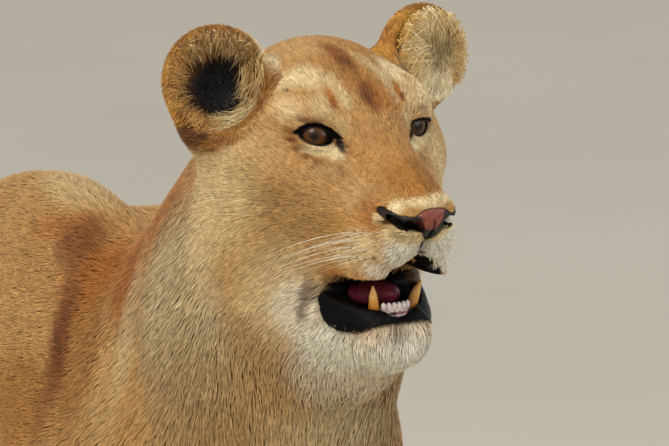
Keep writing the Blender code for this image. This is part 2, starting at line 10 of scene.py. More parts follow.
import bmesh
import bpy
import numpy as np
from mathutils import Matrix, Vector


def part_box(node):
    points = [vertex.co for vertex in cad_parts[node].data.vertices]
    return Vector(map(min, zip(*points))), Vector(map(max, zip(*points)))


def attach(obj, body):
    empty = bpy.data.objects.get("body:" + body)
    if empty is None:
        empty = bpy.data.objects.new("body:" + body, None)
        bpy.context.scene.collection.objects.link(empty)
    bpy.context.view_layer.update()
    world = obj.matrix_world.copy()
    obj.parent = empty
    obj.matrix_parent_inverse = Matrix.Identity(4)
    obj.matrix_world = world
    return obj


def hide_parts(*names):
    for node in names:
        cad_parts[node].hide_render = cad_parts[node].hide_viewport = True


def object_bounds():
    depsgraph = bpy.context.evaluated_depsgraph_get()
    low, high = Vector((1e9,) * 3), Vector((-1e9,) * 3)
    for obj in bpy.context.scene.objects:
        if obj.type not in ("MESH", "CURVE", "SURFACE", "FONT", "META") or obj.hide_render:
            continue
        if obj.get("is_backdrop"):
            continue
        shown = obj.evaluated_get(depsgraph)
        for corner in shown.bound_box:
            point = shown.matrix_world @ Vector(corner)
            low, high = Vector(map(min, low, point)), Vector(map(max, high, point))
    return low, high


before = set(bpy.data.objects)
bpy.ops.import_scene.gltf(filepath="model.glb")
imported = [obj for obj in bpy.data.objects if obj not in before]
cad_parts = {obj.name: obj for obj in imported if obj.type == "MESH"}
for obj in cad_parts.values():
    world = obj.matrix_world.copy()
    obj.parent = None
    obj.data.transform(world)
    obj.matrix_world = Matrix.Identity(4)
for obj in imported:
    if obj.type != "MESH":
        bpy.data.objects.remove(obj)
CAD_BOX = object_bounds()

import openvdb
from mathutils import Euler, Matrix, Vector

SOLE_LEVEL = 0.0015  # the soles lie flat at this height of the modelling frame

FAR = 0.5  # distance given to points well outside a mass

# The head's own frame: origin midway between the eyes, x along the palate.
EYES_AT = Vector((0.850, 0.0, 1.083))
HEAD_PITCH = math.radians(5.3)
HEAD_ROLL = math.radians(1.4)
HEAD_TURN = Euler((HEAD_ROLL, HEAD_PITCH, 0.0)).to_matrix()

EYE_RADIUS = 0.0190
EYE_CENTRE = Vector((-0.0090, 0.0495, 0.0))
EAR_CENTRE = Vector((-0.097, 0.113, 0.039))


# ---------------------------------------------------------------- masses

def turn_matrix(degrees):
    return np.array(Euler([math.radians(a) for a in degrees]).to_matrix())


def far_from(p, point):
    """How far each of the points is from one point."""
    return np.linalg.norm(p - np.array(point), axis=1)


def unit(ways):
    """The directions at length 1."""
    return ways / np.maximum(np.linalg.norm(ways, axis=1), 1e-6)[:, None]


def towards(values, goal, share):
    """The rows of values, drawn towards a goal by the share that each row has."""
    return values + (goal - values) * share[:, None]


class Egg:
    """An ellipsoid. turn is its Euler turn in degrees, soft the width of its blend."""

    def __init__(self, centre, radii, turn=(0, 0, 0), soft=0.03, paired=False):
        self.centre = np.array(centre, float)
        self.radii = np.array(radii, float)
        self.turn = turn_matrix(turn)
        self.soft = soft
        self.paired = paired

    def reach(self):
        pad = self.radii.max() + 2 * self.soft
        return self.centre - pad, self.centre + pad

    def distance(self, p):
        q = (p - self.centre) @ self.turn
        k0 = np.linalg.norm(q / self.radii, axis=1)
        k1 = np.linalg.norm(q / self.radii**2, axis=1)
        return k0 * (k0 - 1) / np.maximum(k1, 1e-9)


class Limb:
    """A stack of oval slices set square to one direction, from (x, y, z, half width, half depth).

    Half width is measured towards +Y and half depth across the slice in the other way. cap is
    how far each end is rounded out."""

    def __init__(self, stations, way, soft=0.03, paired=False, cap=None):
        self.rows = smooth_rows(np.array(stations, float), 12)
        self.way = np.array(way, float) / np.linalg.norm(way)
        side = np.array([0.0, 1.0, 0.0])
        side = side - (side @ self.way) * self.way
        self.side = side / np.linalg.norm(side)
        self.depth = np.cross(self.way, self.side)
        self.heights = self.rows[:, :3] @ self.way
        self.soft = soft
        self.paired = paired
        self.cap = cap

    def reach(self):
        pad = self.rows[:, 3:].max() + 2 * self.soft
        points = self.rows[:, :3]
        return points.min(0) - pad, points.max(0) + pad

    def distance(self, p):
        height = p @ self.way
        at = np.clip(height, self.heights[0], self.heights[-1])
        x, y, z, width, depth = (np.interp(at, self.heights, row) for row in self.rows.T)
        q = p - np.column_stack([x, y, z])
        cap = self.cap if self.cap else np.minimum(width, depth)
        across = np.column_stack([q @ self.side / width, q @ self.depth / depth, (height - at) / cap])
        k0 = np.linalg.norm(across, axis=1)
        radii = np.column_stack([width, depth, cap + 0 * width])
        k1 = np.linalg.norm(across / radii, axis=1)
        return k0 * (k0 - 1) / np.maximum(k1, 1e-9)


def smooth_rows(rows, steps):
    """Stations between the given ones, on a Catmull-Rom curve."""
    ends = np.vstack([2 * rows[0] - rows[1], rows, 2 * rows[-1] - rows[-2]])
    found = []
    for before, a, b, after in zip(ends, ends[1:], ends[2:], ends[3:]):
        for t in np.arange(steps) / steps:
            found.append(
                0.5
                * (
                    2 * a
                    + (b - before) * t
                    + (2 * before - 5 * a + 4 * b - after) * t**2
                    + (3 * a - before - 3 * b + after) * t**3
                )
            )
    return np.array(found + [rows[-1]])


def join(a, b, soft):
    """The nearer of two distances, rounded over a width of soft where they meet."""
    h = np.maximum(soft - np.abs(a - b), 0) / soft
    return np.minimum(a, b) - h * h * soft / 4


def meet(a, b, soft):
    """The farther of two distances, rounded over a width of soft where they meet."""
    return -join(-a, -b, soft)


def carve(a, b, soft):
    """Distance to a with b taken out of it."""
    return -join(-a, b, soft)


def mirrored(p):
    """The points folded onto her left side."""
    return np.column_stack([p[:, 0], np.abs(p[:, 1]), p[:, 2]])


def massed(p, masses):
    """Distance from the points to the blend of the masses."""
    found = np.full(len(p), FAR)
    folded = mirrored(p)
    for mass in masses:
        q = folded if mass.paired else p
        low, high = mass.reach()
        near = np.all((q > low) & (q < high), axis=1)
        if near.any():
            found[near] = join(found[near], mass.distance(q[near]), mass.soft)
    return found


# ---------------------------------------------------------------- the body's masses

TRUNK = Limb(
    [
        (-0.575, 0, 0.825, 0.050, 0.070),
        (-0.530, 0, 0.805, 0.098, 0.120),
        (-0.440, 0, 0.785, 0.128, 0.160),
        (-0.300, 0, 0.762, 0.138, 0.168),
        (-0.150, 0, 0.738, 0.154, 0.178),
        (0.000, 0, 0.720, 0.166, 0.191),
        (0.150, 0, 0.717, 0.168, 0.203),
        (0.300, 0, 0.720, 0.158, 0.203),
        (0.420, 0, 0.726, 0.142, 0.192),
        (0.540, 0, 0.750, 0.125, 0.180),
        (0.620, 0, 0.765, 0.100, 0.135),
    ],
    (1, 0, 0),
    cap=0.03,
)
NECK = Limb(
    [
        (0.440, 0, 0.760, 0.110, 0.150),
        (0.545, 0, 0.780, 0.145, 0.180),
        (0.620, 0, 0.840, 0.138, 0.170),
        (0.682, 0, 0.920, 0.130, 0.148),
        (0.733, 0, 1.005, 0.111, 0.122),
    ],
    (0.8, 0, 1),
    soft=0.022,
)
TAIL = Limb(
    [
        (-0.555, 0.000, 0.842, 0.034, 0.036),
        (-0.642, 0.000, 0.782, 0.030, 0.035),
        (-0.688, 0.005, 0.695, 0.024, 0.025),
        (-0.716, 0.018, 0.550, 0.021, 0.022),
        (-0.733, 0.036, 0.400, 0.018, 0.019),
        (-0.750, 0.054, 0.280, 0.017, 0.018),
        (-0.780, 0.070, 0.185, 0.021, 0.022),
        (-0.825, 0.082, 0.120, 0.031, 0.032),
        (-0.870, 0.090, 0.085, 0.022, 0.026),
        (-0.900, 0.094, 0.070, 0.006, 0.006),
    ],
    (-0.42, 0.1, -0.9),
    soft=0.050,
)
BODY_MASSES = [
    TRUNK,
    Egg((0.310, -0.052, 0.890), (0.200, 0.042, 0.078), (0, 0, 0), 0.040),  # right withers
    Egg((0.340, 0.052, 0.850), (0.160, 0.042, 0.066), (0, 0, 0), 0.040),  # left withers
    Egg((0.362, -0.094, 0.818), (0.124, 0.046, 0.150), (-8, -12, -4), 0.040),  # right blade
    Egg((0.372, 0.094, 0.786), (0.124, 0.046, 0.150), (8, -12, 4), 0.040),  # left blade
    Egg((0.455, 0.118, 0.690), (0.066, 0.050, 0.090), (0, -10, 0), 0.045, True),  # point
    Egg((0.415, 0.122, 0.640), (0.070, 0.054, 0.110), (0, 45, 0), 0.050, True),  # upper arm
    Egg((-0.410, 0.090, 0.785), (0.155, 0.068, 0.135), (0, 10, 0), 0.075, True),  # haunch
    Egg((-0.370, 0.115, 0.660), (0.115, 0.062, 0.165), (0, -28, 0), 0.070, True),  # thigh
    Egg((0.050, 0.000, 0.560), (0.280, 0.120, 0.070), (0, 3, 0), 0.080, False),  # belly
    Egg((-0.545, 0.000, 0.832), (0.100, 0.062, 0.058), (0, -26, 0), 0.070, False),  # croup
    NECK,
    Egg((0.580, 0.000, 0.715), (0.150, 0.172, 0.125), (0, 0, 0), 0.050, False),  # breast
    Egg((0.655, 0.000, 0.830), (0.085, 0.085, 0.110), (0, 40, 0), 0.080, False),  # throat
    TAIL,
]


def fore_leg(shift, side):
    """Foreleg whose paw stands shift further forward, on her left (side 1) or right (-1)."""
    return Limb(
        [
            (0.475 + shift, 0.117 * side, 0.050, 0.045, 0.044),
            (0.456 + shift, 0.117 * side, 0.120, 0.040, 0.042),
            (0.450 + 0.9 * shift, 0.117 * side, 0.185, 0.039, 0.042),
            (0.446 + 0.8 * shift, 0.118 * side, 0.240, 0.037, 0.041),
            (0.436 + 0.5 * shift, 0.122 * side, 0.340, 0.041, 0.048),
            (0.425 + 0.3 * shift, 0.127 * side, 0.450, 0.048, 0.060),
            (0.425 + 0.1 * shift, 0.130 * side, 0.540, 0.054, 0.076),
            (0.432, 0.127 * side, 0.620, 0.054, 0.084),
            (0.440, 0.112 * side, 0.720, 0.044, 0.075),
        ],
        (0, 0, 1),
        soft=0.04,
        cap=0.06,
    )


def hind_leg(shift, side):
    """Hind leg whose paw stands shift further forward."""
    return Limb(
        [
            (-0.465 + shift, 0.115 * side, 0.045, 0.040, 0.040),
            (-0.485 + shift, 0.115 * side, 0.100, 0.034, 0.035),
            (-0.500 + shift, 0.115 * side, 0.170, 0.030, 0.033),
            (-0.512 + shift, 0.116 * side, 0.245, 0.030, 0.039),
            (-0.500 + 0.9 * shift, 0.118 * side, 0.305, 0.031, 0.050),
            (-0.445 + 0.7 * shift, 0.122 * side, 0.385, 0.037, 0.064),
            (-0.370 + 0.4 * shift, 0.128 * side, 0.475, 0.047, 0.085),
            (-0.325 + 0.2 * shift, 0.128 * side, 0.570, 0.056, 0.105),
            (-0.345, 0.116 * side, 0.670, 0.058, 0.118),
            (-0.370, 0.095 * side, 0.760, 0.050, 0.100),
        ],
        (0, 0, 1),
        soft=0.04,
        cap=0.06,
    )


def paw(x, y, size):
    """A paw with four toes, its heel pad at x, and y its middle line. It stands on z = 0."""
    masses = [
        Egg((x + 0.012, y, 0.036), (0.058 * size, 0.052 * size, 0.044), soft=0.02),
        Egg((x + 0.050, y, 0.030), (0.050 * size, 0.055 * size, 0.034), soft=0.02),
    ]
    for toe in (-1.5, -0.5, 0.5, 1.5):
        back = 0.016 * (abs(toe) - 0.5)
        centre = (x + (0.082 - back) * size, y + 0.0285 * toe * size, 0.027)
        masses.append(
            Egg(centre, (0.031 * size, 0.0165 * size, 0.030), (0, 12, 5 * toe), 0.008)
        )
    return masses


FORE_SHIFT = {1: 0.035, -1: -0.015}
HIND_SHIFT = {1: -0.055, -1: 0.060}
LEG_MASSES = {}
for body_side in (1, -1):
    fore_x = 0.478 + FORE_SHIFT[body_side]
    hind_x = -0.462 + HIND_SHIFT[body_side]
    LEG_MASSES[body_side] = [
        fore_leg(FORE_SHIFT[body_side], body_side),
        hind_leg(HIND_SHIFT[body_side], body_side),
        *paw(fore_x, 0.117 * body_side, 1.0),
        *paw(hind_x, 0.115 * body_side, 0.92),
    ]


# ---------------------------------------------------------------- the head's masses

HEAD_MASSES = [
    Egg((-0.090, 0, 0.007), (0.096, 0.080, 0.065), (0, 0, 0), 0.03),  # cranium
    Egg((-0.030, 0, 0.006), (0.058, 0.062, 0.040), (0, 14, 0), 0.03),  # forehead
    Egg((-0.018, 0.048, 0.017), (0.030, 0.026, 0.015), (0, 10, -20), 0.016, True),  # brow
    Egg((-0.054, 0.062, 0.008), (0.046, 0.030, 0.030), (0, 0, -10), 0.025, True),  # temple
    Limb(
        [
            (-0.030, 0, 0.006, 0.040, 0.030),
            (0.020, 0, -0.005, 0.031, 0.026),
            (0.060, 0, -0.022, 0.026, 0.024),
            (0.095, 0, -0.040, 0.027, 0.025),
            (0.118, 0, -0.050, 0.029, 0.022),
        ],
        (1, 0, -0.35),
        soft=0.02,
    ),  # bridge of the nose
    Egg((-0.032, 0.070, -0.034), (0.058, 0.028, 0.026), (0, 8, -14), 0.03, True),  # cheekbone
    Egg((-0.078, 0.070, -0.060), (0.060, 0.042, 0.060), (0, 0, 0), 0.04, True),  # jaw muscle
    Egg((-0.085, 0.066, -0.115), (0.055, 0.044, 0.055), (0, 30, 0), 0.04, True),  # cheek ruff
    Egg((0.040, 0.030, -0.065), (0.070, 0.026, 0.036), (0, 14, -8), 0.03, True),  # muzzle side
    Egg((0.081, 0.025, -0.084), (0.038, 0.026, 0.027), (0, 14, -14), 0.010, True),  # whisker pad
    Egg((0.101, 0, -0.081), (0.023, 0.018, 0.021), (0, 0, 0), 0.012),  # under the nose
    Egg((0.074, 0.036, -0.112), (0.026, 0.012, 0.018), (0, 8, -16), 0.012, True),  # lip's edge
    Egg((0.002, 0.044, -0.060), (0.048, 0.027, 0.034), (0, 10, -16), 0.025, True),  # under the eye
    Egg((0.112, 0, -0.057), (0.022, 0.035, 0.020), (0, 10, 0), 0.012),  # nose end
    Egg((0.024, 0.037, -0.116), (0.055, 0.017, 0.026), (0, 4, -10), 0.025, True),  # upper lip
    Limb(
        [
            (-0.095, 0.064, -0.095, 0.028, 0.055),
            (-0.050, 0.056, -0.145, 0.024, 0.045),
            (0.000, 0.044, -0.178, 0.019, 0.028),
            (0.036, 0.038, -0.184, 0.017, 0.026),
            (0.064, 0.020, -0.186, 0.018, 0.026),
        ],
        (0.8, 0, -0.45),
        soft=0.02,
        paired=True,
    ),  # lower jaw
    Egg((0.056, 0, -0.194), (0.035, 0.038, 0.032), (0, 0, 0), 0.02),  # chin
    Egg((-0.030, 0, -0.175), (0.080, 0.052, 0.040), (0, 10, 0), 0.03),  # floor of the mouth
    Egg((-0.050, 0, -0.215), (0.080, 0.070, 0.060), (0, 20, 0), 0.05),  # under the jaw
    Egg((-0.108, 0.088, 0.000), (0.034, 0.033, 0.046), (0, 0, 0), 0.03, True),  # ear's root
]
EAR_TURN = (0, -10, 17)
EAR_OUTSIDE = Egg(EAR_CENTRE, (0.036, 0.054, 0.056), EAR_TURN, 0.012, True)
EAR_LOBE = Egg((-0.105, 0.113, -0.004), (0.024, 0.034, 0.038), soft=0.020)  # the right ear's
EAR_HOLLOW = Egg(EAR_CENTRE + Vector((0.024, 0.008, 0.004)), (0.040, 0.044, 0.046), EAR_TURN)
MOUTH = [
    Limb(
        [
            (0.018, 0, -0.1470, 0.120, 0.005),
            (0.028, 0, -0.1440, 0.120, 0.011),
            (0.055, 0, -0.1430, 0.120, 0.0145),
            (0.095, 0, -0.1400, 0.120, 0.018),
            (0.150, 0, -0.1360, 0.120, 0.024),
        ],
        (1, 0, 0),
        soft=0.006,
        cap=0.003,
    ),
    Egg((0.046, 0, -0.142), (0.052, 0.030, 0.024), (0, -6, 0), 0.006),
    Egg((0.108, 0, -0.118), (0.036, 0.014, 0.021), (0, 0, 0), 0.006),
]
LIP_FLAP = Egg((0.087, 0.034, -0.119), (0.019, 0.0085, 0.0145), (0, 10, -14), 0.010)  # left side
NOSTRILS = [
    Egg((0.124, 0.0175, -0.0590), (0.012, 0.0085, 0.0060), (0, 0, 25)),
    Egg((0.112, 0.0310, -0.0620), (0.014, 0.0070, 0.0035), (0, 0, 10)),
]
LEFT_EAR_RISE = np.array([0, 0.003, 0.005])
LEFT_EAR_STRETCH = np.array([1, 1.02, 1.10])
LID = Egg(EYE_CENTRE, (0.0215, 0.0215, 0.0215), (0, 0, 0), 0.012, True)
FISSURE = Egg(EYE_CENTRE + Vector((0.018, 0.002, 0.001)), (0.016, 0.0195, 0.0088), (-9, 0, 24))
TONGUE = [
    Egg((0.018, 0, -0.1560), (0.036, 0.024, 0.0125), (0, -8, 0), 0.01),
    Egg((0.037, 0, -0.1520), (0.020, 0.014, 0.0070), (0, -12, 0), 0.01),
]
CANINE = Limb(
    [
        (0.0590, 0.0190, -0.1720, 0.0060, 0.0070),
        (0.0615, 0.0205, -0.1600, 0.0052, 0.0062),
        (0.0650, 0.0235, -0.1450, 0.0038, 0.0045),
        (0.0685, 0.0262, -0.1345, 0.0010, 0.0012),
    ],
    (0.25, 0.2, 1),
    soft=0.002,
)
INCISORS = [Egg((0.0655, 0, -0.1625), (0.0050, 0.0150, 0.0060), soft=0.003)]
for tooth in (0.0026, 0.0080, 0.0132):
    across = Egg(
        (0.0690 - 14 * tooth**2, tooth, -0.1570), (0.0030, 0.0026, 0.0048), soft=0.001, paired=True
    )
    INCISORS.append(across)


def to_head(p):
    """World points in the head's frame."""
    return (p - np.array(EYES_AT)) @ np.array(HEAD_TURN)


def ear_space(p):
    """Both ears' points in the right ear's shape. Her left ear stands higher and is shorter."""
    q = mirrored(p)
    centre = np.array(EAR_CENTRE)
    raised = centre + (q - centre - LEFT_EAR_RISE) * LEFT_EAR_STRETCH
    return np.where(p[:, 1:2] > 0, raised, q)


def head_form(p):
    """Distance from points in the head's frame to the head by itself."""
    found = massed(p, HEAD_MASSES)
    folded = mirrored(p)
    near = far_from(folded, EYE_CENTRE) < 0.08
    if near.any():
        q = folded[near]
        found[near] = join(found[near], LID.distance(q), 0.012)
        found[near] = carve(found[near], FISSURE.distance(q), 0.002)
    near = far_from(folded, EAR_CENTRE) < 0.12
    if near.any():
        q = ear_space(p[near])
        lobe = np.where(p[near, 1] < 0, EAR_LOBE.distance(q), FAR)
        found[near] = join(join(found[near], lobe, EAR_LOBE.soft), ear_form(q), 0.020)
        found[near] = carve(found[near], EAR_HOLLOW.distance(q), 0.010)
    near = far_from(folded, NOSTRILS[0].centre) < 0.05
    for hole in NOSTRILS:
        found[near] = carve(found[near], hole.distance(folded[near]), 0.003)
    return join(carve(found, massed(p, MOUTH), 0.006), LIP_FLAP.distance(p), LIP_FLAP.soft)


def ear_form(p):
    return carve(EAR_OUTSIDE.distance(p), EAR_HOLLOW.distance(p), 0.010)


def form(p):
    """Signed distance, negative inside, from world points to the coat's outer surface."""
    found = massed(p, BODY_MASSES)
    for masses in LEG_MASSES.values():
        found = join(found, massed(p, masses), 0.03)
    in_head = to_head(p)
    near = np.linalg.norm(in_head, axis=1) < 0.40
    if near.any():
        q = in_head[near]
        found[near] = join(found[near], head_form(q), 0.04)
        found[near] = carve(found[near], massed(q, MOUTH), 0.006)
    return np.maximum(found, -p[:, 2])


# ---------------------------------------------------------------- finer forms of the face

PHILTRUM = Limb(
    [
        (0.1350, 0, -0.0680, 0.0020, 0.0055),
        (0.1270, 0, -0.0790, 0.0024, 0.0055),
        (0.1220, 0, -0.0890, 0.0030, 0.0055),
        (0.1150, 0, -0.0990, 0.0050, 0.0060),
    ],
    (-0.4, 0, -1),
    soft=0.004,
)
LEATHER = [
    Egg((0.1330, 0, -0.0535), (0.034, 0.0190, 0.0115), (0, 0, 0), 0.006),
    Egg((0.1290, 0, -0.0640), (0.030, 0.0095, 0.0120), (0, 0, 0), 0.008),
    Egg((0.1200, 0.0225, -0.0580), (0.030, 0.0140, 0.0082), (16, 0, 0), 0.006, True),
    Egg((0.1040, 0.0335, -0.0520), (0.016, 0.0062, 0.0048), (35, 0, 0), 0.006, True),
]
FINE_NOSTRILS = [
    Egg((0.1320, 0.0165, -0.0600), (0.020, 0.0080, 0.0060), (15, 0, 20), 0.004, True),
    Egg((0.1160, 0.0285, -0.0570), (0.016, 0.0095, 0.0036), (25, 0, 10), 0.004, True),
]
MUZZLE_ROOT = (0.05, 0, -0.07)  # the finer forms lie around it
LIP_LEDGE = Limb(
    [
        (0.020, 0.0505, -0.1560, 0.0040, 0.0050),
        (0.034, 0.0455, -0.1590, 0.0050, 0.0060),
        (0.050, 0.0380, -0.1610, 0.0050, 0.0060),
        (0.064, 0.0295, -0.1620, 0.0050, 0.0050),
        (0.074, 0.0180, -0.1630, 0.0050, 0.0045),
    ],
    (1, -0.2, 0),
    soft=0.008,
    paired=True,
)

# The lids, seen from the eye's middle: turns outwards and upwards in degrees. Each lid bows from
# the line between the corners, most near the nose.
EYE_TURN = turn_matrix((-9, 0, 24))
LIDS_END = 0.042  # how far from the eye's middle the lids go over into the face
LIDS = {  # by side: the corner by the nose, the outer corner, the lower and the upper bow
    -1: ((-50, -12), (60, 14), (18, 0.75, 0.70), (36, 0.80, 0.75)),
    1: ((-46, 7), (42, 10), (33, 0.90, 0.60), (12, 0.90, 0.60)),
}


def lid_heights(side, share):
    """How far up the lower and the upper lid reach at this share of the way outwards."""
    inner, outer, lower, upper = LIDS[side]
    line = inner[1] + (outer[1] - inner[1]) * share
    low, high = (bow * np.sin(np.pi * share**early) ** blunt for bow, early, blunt in (lower, upper))
    return line - low, line + high


def past_lids(side, head):
    """How far points of the head's frame are below, above and beside one eye's opening."""
    seen = (head * [1, side, 1] - np.array(EYE_CENTRE)) @ EYE_TURN
    out = np.degrees(np.arctan2(seen[:, 1], seen[:, 0]))
    up = np.degrees(np.arctan2(seen[:, 2], np.hypot(seen[:, 0], seen[:, 1])))
    inner, outer = LIDS[side][0][0], LIDS[side][1][0]
    share = np.clip((out - inner) / (outer - inner), 0.001, 0.999)
    low, high = lid_heights(side, share)
    found = np.stack([low - up, up - high, np.maximum(inner - out, out - outer)])
    return np.radians(found) * np.linalg.norm(seen, axis=1)


def past_own_lids(head):
    return np.where(head[:, 1] > 0, past_lids(1, head), past_lids(-1, head))


def lid_distance(head):
    """How far points of the head's frame are from the opening between the lids."""
    below, above, beside = past_own_lids(head)
    past = np.maximum(below, above)
    return np.where(beside > 0, np.hypot(np.maximum(past, 0), beside), past)


def lid_share(head):
    """1 on the lids' black margins, which are widest above the eye."""
    below, above, beside = past_own_lids(head)
    past = np.maximum(np.maximum(below, above - 0.0020), beside)
    return fade(past, 0.0010, 0.0)


def open_eyes(level, head):
    """The face around the eyes with its lids drawn anew over the eyeballs."""
    face = mirrored(head)
    far = far_from(face, EYE_CENTRE)
    near = far < LIDS_END
    lids = join(massed(face[near], HEAD_MASSES), LID.distance(face[near]), LID.soft)
    lids = carve(lids, lid_distance(head[near]), 0.0012)
    level[near] += (lids - level[near]) * fade(far[near], LIDS_END, LIDS_END - 0.005)
    return level


def fade(values, zero, one):
    """0 at the value zero and before it, 1 at the value one and past it, smooth between."""
    t = np.clip((values - zero) / (one - zero), 0, 1)
    return t * t * (3 - 2 * t)


TENTHS = 10000  # tenths of a millimetre in a metre


class Patch:
    """A soft-edged egg that marks a place on the body: 1 inside it, 0 well outside.

    Its centre and radii are in tenths of a millimetre, edge is the share that is soft, and turn
    its Euler turn in degrees."""

    def __init__(self, centre, radii, edge=0.4, turn=(0, 0, 0)):
        self.centre = np.array(centre) / TENTHS
        self.radii = np.array(radii) / TENTHS
        self.edge = edge
        self.turn = turn_matrix(turn)

    def mask(self, p):
        far = np.linalg.norm((p - self.centre) @ self.turn / self.radii, axis=1)
        return fade(far, 1 + self.edge, 1 - self.edge)


class Places:
    """Points of the form in the frames that the marks are given in."""

    def __init__(self, p):
        self.body = p
        self.sides = mirrored(p)
        self.head = to_head(p)
        self.faces = mirrored(self.head)
        self.ears = (ear_space(self.head) - np.array(EAR_CENTRE)) @ turn_matrix(EAR_TURN)
        on_left = (self.head[:, 1:2] > 0) * 1.0
        self.right_ear = self.ears + on_left
        self.left_ear = self.ears + 1 - on_left

    def marked(self, found, marks):
        """The values, drawn towards each mark's value inside its patch.

        A mark is its frame, value, strength and patch."""
        for frame_name, value, strength, *patch in marks:
            share = strength * Patch(*patch).mask(getattr(self, frame_name))
            found = towards(found, np.array(value), share)
        return found

    def mix(self, start, marks):
        """Values that start even, with the marks in them."""
        return self.marked(np.zeros((len(self.body), len(np.atleast_1d(start)))) + start, marks)

    def level(self, start, marks):
        return self.mix(start, marks)[:, 0]


def leather_distance(faces):
    return massed(faces, LEATHER)


FACE_MIDDLE = (0.06, 0.03, -0.08)  # of one half of the bare parts
INNER_LIPS = [  # bare and black behind the upper lips
    ((1000, 120, -1120), (260, 120, 170), 0.25),
    ((940, 260, -1190), (160, 50, 100), 0.30),
    ((700, 180, -1190), (340, 100, 100), 0.30),
    ((180, 390, -1410), (160, 170, 130), 0.25),
]


def bare_share(places):
    """1 on bare skin (lids' edges, nose and lips), 0 where the coat grows."""
    faces = places.faces
    near = far_from(faces, FACE_MIDDLE) < 0.17
    found = np.zeros(len(faces))
    if near.any():
        q = faces[near]
        share = lid_share(places.head[near])
        share *= fade(far_from(q, EYE_CENTRE), 0.036, 0.032)
        share = np.maximum(share, fade(PHILTRUM.distance(q), 0.0020, 0.0006))
        for patch in INNER_LIPS:
            share = np.maximum(share, Patch(*patch).mask(places.head[near]))
        share = np.maximum(share, fade(leather_distance(q), 0.0010, -0.0005))
        share = np.maximum(share, fade(massed(places.head[near], MOUTH), 0.0035, 0.0015))
        share = np.maximum(share, lip_share(q))
        found[near] = share
    return found


LIP_LOWER_EDGE = [  # how far down her black lower lip reaches, by distance forward
    (0.010, -0.150),
    (0.014, -0.1585),
    (0.021, -0.1680),
    (0.028, -0.1750),
    (0.036, -0.1795),
    (0.046, -0.1822),
    (0.060, -0.1815),
    (0.070, -0.1790),
    (0.080, -0.1725),
    (0.086, -0.1697),
]


def lip_share(faces):
    """1 on the black outside of the lower lip."""
    edge = np.interp(faces[:, 0], *np.array(LIP_LOWER_EDGE).T) + 0.0012 * mottle(faces, 0.006)
    share = fade(faces[:, 2], edge - 0.0012, edge + 0.0012) * fade(faces[:, 2], -0.138, -0.144)
    return share * fade(faces[:, 0], 0.009, 0.014) * fade(faces[:, 1], 0.075, 0.070)


# Zones of the coat that differ from the rest in both depth and length.
BELLY = ((0, 0, 5250), (4600, 1400, 550))
FORELEGS = ((4600, 1200, 2600), (1200, 1000, 3000), .2)
HIND_LEGS = ((-4800, 1200, 2400), (1600, 1000, 2600), .2)
PAWS = ((200, 0, -100), (8000, 3000, 850), .2)
LONG_TAIL = ((-7300, 200, 4500), (900, 800, 4000), .1)
TAIL_TUFT = ((-8250, 800, 1250), (1000, 600, 850), .3)
JAW = ((0, 500, -1700), (500, 400, 300), .4)
WHOLE_EAR = ((0, 0, 0), (550, 660, 680), .1)

DEPTHS = [  # how far the skin lies inside the form
    ("body", 0.0085, 1, *BELLY),
    ("body", 0.006, 1, (6200, 0, 8600), (1300, 1600, 2200), .35),  # neck
    ("body", 0.008, 1, (6900, 0, 7600), (1000, 1000, 1600), .35),  # throat
    ("sides", 0.003, 1, *FORELEGS),
    ("sides", 0.003, 1, *HIND_LEGS),
    ("body", 0.0022, 1, *PAWS),
    ("body", 0.0045, 1, *LONG_TAIL),
    ("body", 0.014, 1, *TAIL_TUFT),
    ("head", 0.0024, 1, (200, 0, -300), (1300, 1300, 1300), .25),  # face
    ("head", 0.0036, 1, (-800, 0, 500), (800, 900, 600), .3),  # crown
    ("faces", 0.006, 1, (-700, 900, -1100), (550, 500, 750), .4),  # cheek
    ("faces", 0.004, 1, *JAW),
    ("head", 0.01, 1, (550, 0, -2120), (450, 450, 260), .35),  # chin
    ("ears", 0.0022, 1, *WHOLE_EAR),
]


def coat_depth(places):
    """How far the skin lies inside the form."""
    depth = places.level(0.0048, DEPTHS)
    faces = places.faces
    near = far_from(faces, FACE_MIDDLE) < 0.19
    if near.any():
        q = faces[near]
        bare = np.minimum(
            np.maximum(lid_distance(places.head[near]), 0),
            np.maximum(np.minimum(leather_distance(q), massed(places.head[near], MOUTH)), 0),
        )
        bare = np.minimum(bare, 0.02 * (1 - lip_share(q)))
        depth[near] = np.minimum(depth[near], 0.0006 + 0.20 * bare)
        depth[near] += 0.0006 * fade(leather_distance(q), 0.0, -0.001)
    return depth


def fine_form(p):
    """The form with the finer shapes of lip and nose."""
    found = form(p)
    q = to_head(p)
    near = far_from(q, MUZZLE_ROOT) < 0.16
    if near.any():
        m = mirrored(q[near])
        level = open_eyes(found[near], q[near])
        level = join(level, LIP_LEDGE.distance(m), 0.008)
        level = carve(level, PHILTRUM.distance(m), 0.004)
        found[near] = carve(level, massed(m, FINE_NOSTRILS), 0.003)
    return np.maximum(found, SOLE_LEVEL - p[:, 2])


def skin_form(p):
    places = Places(p)
    return np.maximum(fine_form(p) + coat_depth(places), SOLE_LEVEL - p[:, 2])


# ---------------------------------------------------------------- colours of the coat

def linear(colour):
    """An sRGB hex colour as linear light."""
    share = np.array([int(colour[i : i + 2], 16) / 255 for i in (1, 3, 5)])
    return np.where(share <= 0.04045, share / 12.92, ((share + 0.055) / 1.055) ** 2.4)


WHITE_FUR = linear("#c8c2ae")
CREAM = linear("#d6c294")
PALE = linear("#c2ab7c")
SAND = linear("#b4925e")
GREY_SAND = linear("#ad9a74")
TAWNY = linear("#ae834c")
GOLD = linear("#b18442")
DARK_GOLD = linear("#96662e")
TAUPE = linear("#94794f")
AMBER = linear("#c08c3c")
ORANGE = linear("#9c5e1e")
RUST = linear("#7a461d")
BROWN = linear("#5a3619")
UMBER = linear("#39210f")
BLACK = linear("#0b0908")

